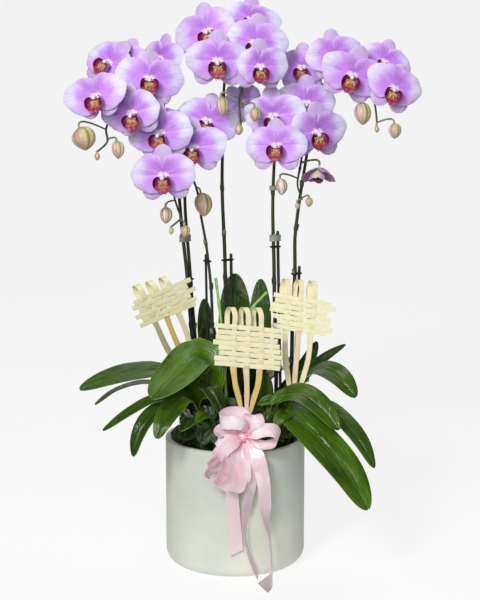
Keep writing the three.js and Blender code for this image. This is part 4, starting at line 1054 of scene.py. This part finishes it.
# The upper loops, from the knot and back: six numbers each time, the place from the knot and where the
# width points.
LOOPS = [
    """0 0 3 1 0 .3  4 5 16 .7 .1 .7  1 10 29 .2 -.1 1  -12 12 32 0 -.2 1  -26 7 30 -.1 -.1 1
       -33 -4 25 -.1 .1 1  -27 -16 24 0 .15 1  -13 -21 25 .05 .15 1  0 -17 21 .2 .1 1  2 -8 9 .9 0 .5""",
    """-3 0 2 .2 0 1  -16 3 8 -.1 0 1  -29 0 10 -.1 .1 1  -36 -6 5 -.2 .2 1  -33 -11 -4 -.3 .2 1
       -20 -8 -5 -.2 .1 1  -5 -3 -1 .1 0 1""",
    """1 -3 5 .7 0 .6  5 -6 19 .9 .1 .3  10 -6 31 1 .1 .1  17 -11 33 1 .1 0  20 -18 27 1 .1 0
       19 -17 17 .9 .1 .1  10 -8 7 .7 0 .5""",
    """4 -4 2 0 0 1  17 -14 9 -.25 .15 1  32 -18 14 -.15 .15 1  44 -16 12 0 .3 1  49.5 -10 3 .3 .6 .8
       45 -6 -7 .2 .8 .5  32 -7 -11 -.1 .9 .4  17 -6 -9 -.1 .8 .5  4 -3 -3 0 .3 1""",
    """-2 -7 -1 -.5 0 .8  -12 -18 -3 -.6 0 .8  -23 -24 -10 -.65 0 .75  -33 -24 -20 -.65 0 .75
       -38 -17 -26 -.65 0 .75  -34 -9 -22 -.65 0 .75  -21 -5 -9 -.6 0 .8  -5 -3 0 -.4 0 .9""",
]
# The lower loops: how far each reaches from the knot, where its width points, and its half opening.
ROSETTE = [
    ((-44, -30, -44), (-0.35, -0.55, 0.75), 12), ((-47, -32, -58), (-0.45, -0.58, 0.68), 13),
    ((-31, -38, -66), (-0.62, -0.62, 0.35), 14), ((-14, -34, -72), (-0.8, -0.55, 0.2), 13),
    ((-2, -27, -60), (-0.95, -0.35, 0.1), 10), ((-26, -30, -50), (-0.6, -0.5, 0.3), 9),
]
# The tails, with places in the row frame, and how slanting each is cut.
TAILS = [
    (4, """8 -103 206 1 0 0  2 -116 184 1 .1 .1  -4 -114 146 1 .05 .05  -2 -111 96 1 0 .04
           1 -109 64 1 .1 .08  2 -108 43 1 .1 .1"""),
    (3, """15 -104 206 1 0 0  23 -119 178 1 .1 0  22 -118 148 .9 .4 0  18 -118 117 .65 .75 0
           14 -117 87 .35 .93 0  15 -116 64 .18 .98 0  21 -116 40 .2 .98 0  27 -116 25 .22 .97 0
           33 -116 12 .25 .96 0"""),
    (4, """18 -103 210 1 0 .2  32 -116 190 1 .1 .4  41 -117 148 1 .2 .2  43 -117 116 .9 .4 .1
           45 -117 96 .5 .86 0  49 -117 74 .25 .97 0  51 -117 46 .15 .99 0  52.5 -118 22 .15 .99 0
           52 -122 13 .2 .8 -.5  50.5 -130 9.5 .35 .5 -.7  46 -143 8.8 .5 .1 -.75
           39 -158 8.6 .55 -.1 -.75"""),
]


def teardrop(reach, axis, spread):
    """A loop that swells towards its end, as a list like those above."""
    reach, axis = np.array(reach, float), np.array(axis, float)
    along = unit(reach)
    axis = unit(axis - along * (axis @ along))
    apart = np.cross(axis, along)
    loop = []
    for t in np.linspace(0.03, 0.97, 13):
        swell = 1.3 * spread * math.sin(2 * math.pi * t) * math.sin(math.pi * t)
        point = reach * math.sin(math.pi * t) ** 0.8 + apart * swell
        loop.append((*point, *(axis + apart * (t - 0.5) * 0.7)))
    return loop


def ribbon_band(build, stations, offset, rng, slant=0):
    """A smooth ribbon through points. Loops have no slant, and are gathered at both ends."""
    stations = np.array(stations, float)
    curve = Curve(offset + stations[:, :3])
    count = max(20, int(curve.length / 2.2))
    share = np.linspace(0, 1, count)
    if slant:
        narrow, opened, flare = 6, share * 9, 0
    else:
        narrow, opened, flare = 5.5, np.minimum(share, 1 - share) * 7, 0.6
    width = narrow + (RIBBON_WIDTH - narrow) * np.clip(opened, 0, 1) ** 0.8
    path, along = curve.at(share), curve.along(share)
    wide = unit(curve.blend(share, stations[:, 3:]))
    wide = unit(wide - along * (wide * along).sum(-1, keepdims=True))
    face = np.cross(along, wide)
    s = np.linspace(-1, 1, 13)
    # Small folds where it is gathered, and slight waves farther on.
    distance = np.linalg.norm(path - KNOT, axis=1)
    ripple = np.clip(1 - distance / 26, 0, 1)[:, None] * 2.2 * np.sin(7 * s + 1.3)
    ripple = ripple + 0.35 * np.sin(share[:, None] * curve.length / 11 + 2 * s + rng.uniform(0, 6))
    rows = path[:, None] + wide[:, None] * (width[:, None] / 2 * s)[..., None]
    rows = rows - along[:, None] * (slant * np.clip(share * 5 - 4, 0, 1)[:, None] * s)[..., None]
    rows = rows + face[:, None] * (ripple + flare * (1 - s**2))[..., None]
    keep_off_pot(rows)
    shell(build, rows, RIBBON_THICK, rim=1.0, grow=((distance / 100)[:, None], s[None, :]), tint=rng.random())
    return curve.length


def keep_off_pot(rows):
    """Below the rim, the cloth stays in front of the pot's wall."""
    flat = np.hypot(rows[..., 0], rows[..., 1])
    near = np.maximum(flat, POT_RADIUS + 1.5) / np.maximum(flat, 1)
    low = np.clip((POT_HEIGHT + 6 - rows[..., 2]) / 6, 0, 1)
    foot = np.clip((rows[..., 2] - 4) / 14, 0, 1)
    rows[..., :2] *= (1 + (near - 1) * low * foot)[..., None]


def ribbon():
    build, rng = Build(), random.Random("ribbon")
    total = 0
    for loop in [tuples(text, 6) for text in LOOPS] + [teardrop(*data) for data in ROSETTE]:
        total += ribbon_band(build, loop, KNOT, rng)
    for slant, text in TAILS:
        total += ribbon_band(build, tuples(text, 6), 0, rng, slant)
    # The gathered middle, in the colour that the ribbon has there, and the turns round the stem.
    ball(build, KNOT + (-1, -2, -1), (7, 6.5, 8), rings=9, sides=14)
    build.grows[-1] *= 0.1
    angle = np.linspace(0, 2 * math.pi, 33)
    for lift in (-3, 0, 3):
        ring = np.stack([15 + 5.6 * np.cos(angle), -78.5 + 5.6 * np.sin(angle),
                         np.full(33, KNOT[2] + lift)], axis=-1)
        tube(build, ring, 1.5, 8)
    for aside in (-2, 2):
        path = Curve([(15 + aside, -84, KNOT[2]), (14 + aside, -90, KNOT[2] + 1), (12 + aside, -98, KNOT[2])])
        tube(build, path.even(9), 2.4, 10)
    piece = build.finish("ribbon", "satin", ["satin"], sharp=60)


# Materials

def petal_paint(name, shade, amount, back):
    paint = Paint(name, Roughness=0.5, Sheen_Weight=0.1, Sheen_Roughness=0.4)
    share, lean, side = paint.grow()
    tint = paint.tint()
    seed = tint * 41.0
    cloud = paint.noise((lean * 1.7, share, seed), 2.0)
    veins = paint.noise((lean * 13.0, share * 1.3, seed), 2.4, 4.0)
    moved = share + (cloud - 0.5) * 0.4
    paint.base = paint.ramp(share, (0.0, "#fbf4ff"), (0.13, "#f3dcfb"), (0.2, "#cf8cf2"), (0.45, "#c98ef4"),
                            (0.7, "#d4a6f8"), (0.92, "#dfc2fa"), (1.0, "#d3c2ec"))
    upper = lean.step(0.1, 0.6) * moved.step(1.15, 0.45) * share.step(0.12, 0.25)
    paint.over(upper * 0.8, "#a45fca")
    tip = abs(lean - 0.05).step(0.5, 0.12) * moved.step(0.5, 0.82)
    paint.over(tip * 0.92, "#e4e9fc")
    paint.over(veins.step(0.52, 0.66) * 0.27, "#a35fd0")
    paint.over(veins.step(0.46, 0.34) * 0.3, "#f0e0ff")
    # Painted shade: a darker line along each petal's middle fold.
    crease_shade = abs(lean).step(0.05, 0.0) * share.step(0.95, 0.4)
    paint.over(crease_shade * 0.3, "#9a62c2")
    # Painted shade: the lower rim darkens where the sepals lie behind it.
    low_edge_shade = lean.step(-0.25, -0.6) * share.step(0.955, 0.99)
    paint.over(low_edge_shade * 0.6, "#8a5fae")
    paint.over(tint * 0.22, "#d98af0")
    paint.over(amount, shade)
    paint.over(side * 0.75, back)
    return paint.finish(veins, 0.35, 0.0006)


def sepal_paint(name, back):
    paint = Paint(name, Roughness=0.55, Sheen_Weight=0.1, Sheen_Roughness=0.4)
    along, across, side = paint.grow()
    veins = paint.noise((across * 5.0, along, paint.tint() * 23.0), 2.2, 4.0)
    paint.base = paint.ramp(along, (0.0, "#efdcf6"), (0.2, "#d29bee"), (0.5, "#d0a8ea"), (0.8, "#cdb2e2"),
                            (1.0, "#cdbdd8"))
    paint.over(veins.step(0.5, 0.68) * 0.3, "#a070c4")
    paint.over(abs(across).step(0.82, 1.0) * 0.4, "#efd9f4")
    paint.over(side * 0.6, "#b4a3c6")
    paint.over(abs(across).step(0.9, 0.3) * side * 0.85, back)
    return paint.finish(veins, 0.3, 0.0006)


def lip_paint(name, root, middle, tip, rim, back, gold):
    paint = Paint(name, Roughness=0.4)
    along, across, side = paint.grow()
    cloud = paint.noise((across, along * 1.4, paint.tint() * 11.0), 3.5, 4.0)
    paint.base = paint.ramp(along + (cloud - 0.5) * 0.6, (0.05, root), (0.5, middle), (1.0, tip))
    paint.over(abs(across).step(0.84, 1.0) * 0.3, rim)
    inner = (along + (cloud - 0.5) * 0.5).step(0.44, 0.24) * abs(across).step(0.85, 0.5)
    paint.over(inner * gold, "#c9974e")
    paint.over(side * 0.7, back)
    return paint.finish(cloud, 0.3, 0.0006)


def gold_paint():
    paint = Paint("throat_gold", Roughness=0.35)
    along, _, side = paint.grow()
    patch, spots = paint.noise(None, 210.0, 2.0), paint.noise(None, 900.0, 2.0)
    paint.base = paint.ramp(along + (patch - 0.5) * 0.7, (0.0, "#cf8a2c"), (0.4, "#e0aa44"),
                            (0.66, "#f0cd8a"), (0.84, "#d08c4a"), (0.94, "#96384a"), (1.0, "#6c1636"))
    paint.over(spots.step(0.57, 0.66) * 0.45, "#8a3a26")
    paint.over(side * 0.6, "#a77ab5")
    return paint.finish(spots, 0.3, 0.0004)


def column_paint():
    paint = Paint("column_white", Roughness=0.4)
    cloud = paint.noise(None, 260.0)
    paint.base = paint.ramp(paint.grow()[0], (0.0, "#c9b2d8"), (0.35, "#f6ecfb"), (0.7, "#f8f1fb"),
                            (1.0, "#dcc8d4"))
    paint.over(cloud.step(0.5, 0.7) * 0.3, "#d7a9dd")
    return paint.finish(cloud, 0.2, 0.0004)


def stem_paint():
    """Nearly black low down, and greener towards the blooms."""
    paint = Paint("stem_dark", Roughness=0.45)
    length, cos, sin = paint.grow()
    streaks = paint.noise((cos * 4.0, sin * 4.0, length * 0.05), 2.4, 5.0)
    patches = paint.noise((cos, sin, length * 0.018), 2.0)
    low = paint.ramp(streaks, (0.3, "#14160f"), (0.52, "#1f2518"), (0.62, "#3c4630"), (0.74, "#8f9486"))
    high = paint.ramp(streaks, (0.3, "#252c1a"), (0.55, "#3a4626"), (0.75, "#6b7550"))
    paint.base = paint.mix((length + patches * 160.0).step(300.0, 520.0), low, high)
    return paint.finish(streaks, 0.4, 0.0008)


def stalk_paint():
    paint = Paint("stalk_green", Roughness=0.45)
    along, cos, sin = paint.grow()
    cloud = paint.noise((cos * 2.0, sin * 2.0, along * 6.0), 2.0, 4.0)
    paint.base = paint.ramp(along, (0.0, "#4a5230"), (0.4, "#7d8452"), (1.0, "#a8a68a"))
    paint.over(cloud * 0.5, "#8f7a86")
    return paint.finish(cloud, 0.25, 0.0005)


def bud_paint():
    paint = Paint("bud_green", Roughness=0.4, Sheen_Weight=0.15)
    along, cos, sin = paint.grow()
    seed = paint.tint() * 17.0
    # cos 3a marks the middle of each outer leaf and the seams between them.
    lobe = cos * cos * cos * 4.0 - cos * 3.0
    streaks = paint.noise((cos * 3.0, sin * 3.0, seed + along), 2.0, 4.0)
    paint.base = paint.ramp(along, (0.0, "#8d9a4c"), (0.25, "#cdc884"), (0.65, "#dccb98"), (1.0, "#aaa252"))
    paint.over(lobe.step(-0.5, 0.7) * streaks.step(0.35, 0.6) * 0.82, "#c0789c")
    paint.over(paint.noise((cos, sin, seed), 1.6).step(0.54, 0.58) * 0.75, "#f4e8ee")
    # Painted shade: darker olive in the grooves where the outer leaves meet.
    paint.over(lobe.step(-0.86, -0.98) * 0.7, "#6f6c34")
    return paint.finish(streaks, 0.3, 0.0006)


def leaf_paint():
    paint = Paint("leaf_waxy", Coat_Weight=0.6, Coat_Roughness=0.06, Specular_IOR_Level=0.15)
    along, across, side = paint.grow()
    tint, middle = paint.tint(), abs(across)
    seed = tint * 31.0
    cloud = paint.noise((across, along * 3.0, seed), 1.6, 4.0)
    veins = paint.noise((across * 9.0, along * 0.9, seed), 2.6, 4.0)
    dark = paint.ramp(cloud, (0.3, "#0a1a02"), (0.7, "#213a05"))
    bright = paint.ramp(cloud, (0.3, "#2b4c04"), (0.7, "#557f0a"))
    paint.base = paint.mix(tint, dark, bright)
    paint.over(veins.step(0.5, 0.7) * 0.16, "#5f9a2a")
    # Painted highlights: pale streaks that stand in for the gloss of the waxy face.
    painted_glints = paint.noise((across * 7.0, along * 2.6, seed), 1.8)
    paint.over(painted_glints.step(0.62, 0.74) * middle.step(0.95, 0.6) * 0.4, "#a9c888")
    # Painted shade along the fold, its pale vein, the rim, painted shade at the foot, and the duller back.
    paint.over(middle.step(0.12, 0.02) * 0.35, "#17330c")
    paint.over(middle.step(0.03, 0.006) * 0.5, "#84a84c")
    paint.over(middle.step(0.975, 0.995) * 0.5, "#a4bf68")
    paint.over(along.step(0.25, 0.0) * 0.6, "#1c3a12")
    paint.over(side * 0.5, "#4a6a3a")
    paint.put(paint.shader, "Roughness", paint.ramp(cloud, (0.3, 0.26), (0.7, 0.4)))
    ripples = paint.noise((across * 2.2, along * 7.0, seed), 1.4, 2.0)
    return paint.finish(ripples * 4.0 + veins, 0.5, 0.001)


def ceramic_paint():
    paint = Paint("ceramic_matte", Specular_IOR_Level=0.15)
    cloud, fine = paint.noise(None, 9.0, 5.0, 0.6), paint.noise(None, 420.0)
    paint.base = paint.ramp(cloud, (0.3, "#c4c9bf"), (0.5, "#ced3c6"), (0.7, "#d8d9cb"))
    paint.over(fine.step(0.58, 0.75) * 0.25, "#bfc5bb")
    paint.put(paint.shader, "Roughness", paint.ramp(cloud, (0.3, 0.5), (0.7, 0.65)))
    return paint.finish(fine, 0.12, 0.0006)


def bark_paint():
    paint = Paint("bark_chips", Roughness=0.85)
    grain = paint.noise(None, 260.0, 5.0, 0.65)
    dark = paint.ramp(grain, (0.3, "#120d09"), (0.7, "#3a271a"))
    light = paint.ramp(grain, (0.3, "#24160c"), (0.7, "#5c4029"))
    paint.base = paint.mix(paint.tint(), dark, light)
    return paint.finish(grain, 0.6, 0.002)


def bamboo_paint(name, dull, clear, spot):
    paint = Paint(name, Roughness=0.5, Coat_Weight=0.08)
    along, across, _ = paint.grow()
    seed = paint.tint() * 53.0
    fibres = paint.noise((along * 3.0, across * 5.0, seed), 5.0, 5.0, 0.6)
    paint.base = paint.mix(paint.noise((along * 2.0, seed, 0.0), 2.5, 2.0), dull, clear)
    paint.over(fibres.step(0.5, 0.68) * 0.45, spot)
    paint.over(abs(across).step(0.8, 1.0) * 0.35, spot)
    return paint.finish(fibres, 0.4, 0.0006)


def satin_paint():
    # The faint pink glow is painted light, which lifts the shaded insides of the loops.
    paint = Paint("satin_pink", Roughness=0.28, Sheen_Weight=0.3, Sheen_Roughness=0.3,
                  Specular_IOR_Level=0.7, Emission_Color="#e8b8c6", Emission_Strength=0.05)
    distance, across, side = paint.grow()
    threads = paint.noise((distance * 160.0, across * 2.0, paint.tint()), 4.0)
    fold_light_and_shade = paint.noise((distance * 2.4, across * 0.3, paint.tint() * 9.0), 2.0, 1.0)
    paint.base = paint.ramp(distance, (0.0, "#f08aaa"), (0.12, "#f1a9be"), (0.22, "#efccd7"),
                            (0.3, "#eedfe5"), (0.5, "#edcdd7"), (0.75, "#e2ccd1"), (1.0, "#d3c4c6"))
    near = distance.step(1.0, 0.5)
    # Painted highlights on soft folds near the bow, and painted shade between them.
    paint.over(fold_light_and_shade.step(0.5, 0.66) * near * 0.6, "#fbf3f6")
    paint.over(fold_light_and_shade.step(0.46, 0.32) * near * 0.3, "#ec9fb6")
    paint.over(threads.step(0.5, 0.7) * 0.15, "#f9e6ea")
    paint.over(abs(across).step(0.9, 0.98) * 0.35, "#f4c6d2")
    paint.over(side * 0.35, "#f4d0da")
    return paint.finish(threads, 0.2, 0.0003)


def plain_paint(name, low, high, scale, roughness):
    """A finish with slight clouding and grain."""
    paint = Paint(name, Roughness=roughness)
    grain = paint.noise(None, scale, 4.0)
    paint.base = paint.ramp(grain, (0.3, low), (0.7, high))
    return paint.finish(grain, 0.2, 0.0005)


PAINTS = {
    "petal": petal_paint("petal_lilac", "#c98ef4", 0.0, "#a795c8"),
    "rose": petal_paint("petal_rose", "#8a2a62", 0.75, "#c792c6"),
    "sepal": sepal_paint("sepal_mauve", "#b09ac4"),
    "young": sepal_paint("sepal_young", "#e2e0b4"),
    "lip": lip_paint("lip_rose", "#74163c", "#962650", "#a03468", "#b860a0", "#b78ac8", 0.6),
    "ear": lip_paint("lip_crimson", "#5d0f30", "#7e1748", "#8c2458", "#a85490", "#b593cc", 0.0),
    "gold": gold_paint(),
    "column": column_paint(),
    "stem": stem_paint(),
    "stalk": stalk_paint(),
    "bud": bud_paint(),
    "leaf": leaf_paint(),
    "ceramic": ceramic_paint(),
    "bark": bark_paint(),
    "bamboo": bamboo_paint("bamboo_pale", "#ebe5b2", "#fbf7d2", "#cfc184"),
    "bamboo_cream": bamboo_paint("bamboo_cream", "#e6dfae", "#f5efc6", "#c8b97c"),
    "bamboo_gold": bamboo_paint("bamboo_gold", "#dcbb5e", "#ecd28a", "#b98f3e"),
    "bamboo_pink": bamboo_paint("bamboo_pink", "#e2cba4", "#eedcbc", "#c9a77c"),
    # A greyer copy of the pale bamboo: painted shade for a leg that stands in shadow.
    "bamboo_shaded": bamboo_paint("bamboo_shaded", "#b5b381", "#c9c796", "#8f9062"),
    "satin": satin_paint(),
    "stake": plain_paint("stake_dark", "#15170f", "#2a2e22", 320.0, 0.45),
    "tie": plain_paint("tie_black", "#0d0e10", "#1d1f24", 500.0, 0.45),
    "clip": plain_paint("clip_pale", "#87958a", "#a9b5aa", 240.0, 0.3),
    "shoot": plain_paint("shoot_green", "#7fae52", "#a9cf7c", 180.0, 0.45),
}

add_camera()
add_stage()
add_lamps()
bpy.context.scene.view_settings.view_transform = "Standard"

for make, table in ((bloom, BLOOMS), (spike, SPIKES), (plant, PLANTS)):
    for name in table:
        make(name)
pot()
bark()
for kind, make, table in (
    ("stake", stake, STAKES), ("tie", tie, TIES), ("clip", clip, CLIPS), ("shoot", shoot, SHOOTS),
):
    for name, data in table.items():
        build = Build()
        make(build, *data)
        build.finish(name, kind, [kind])
for name in ORNAMENTS:
    ornament(name)
ribbon()
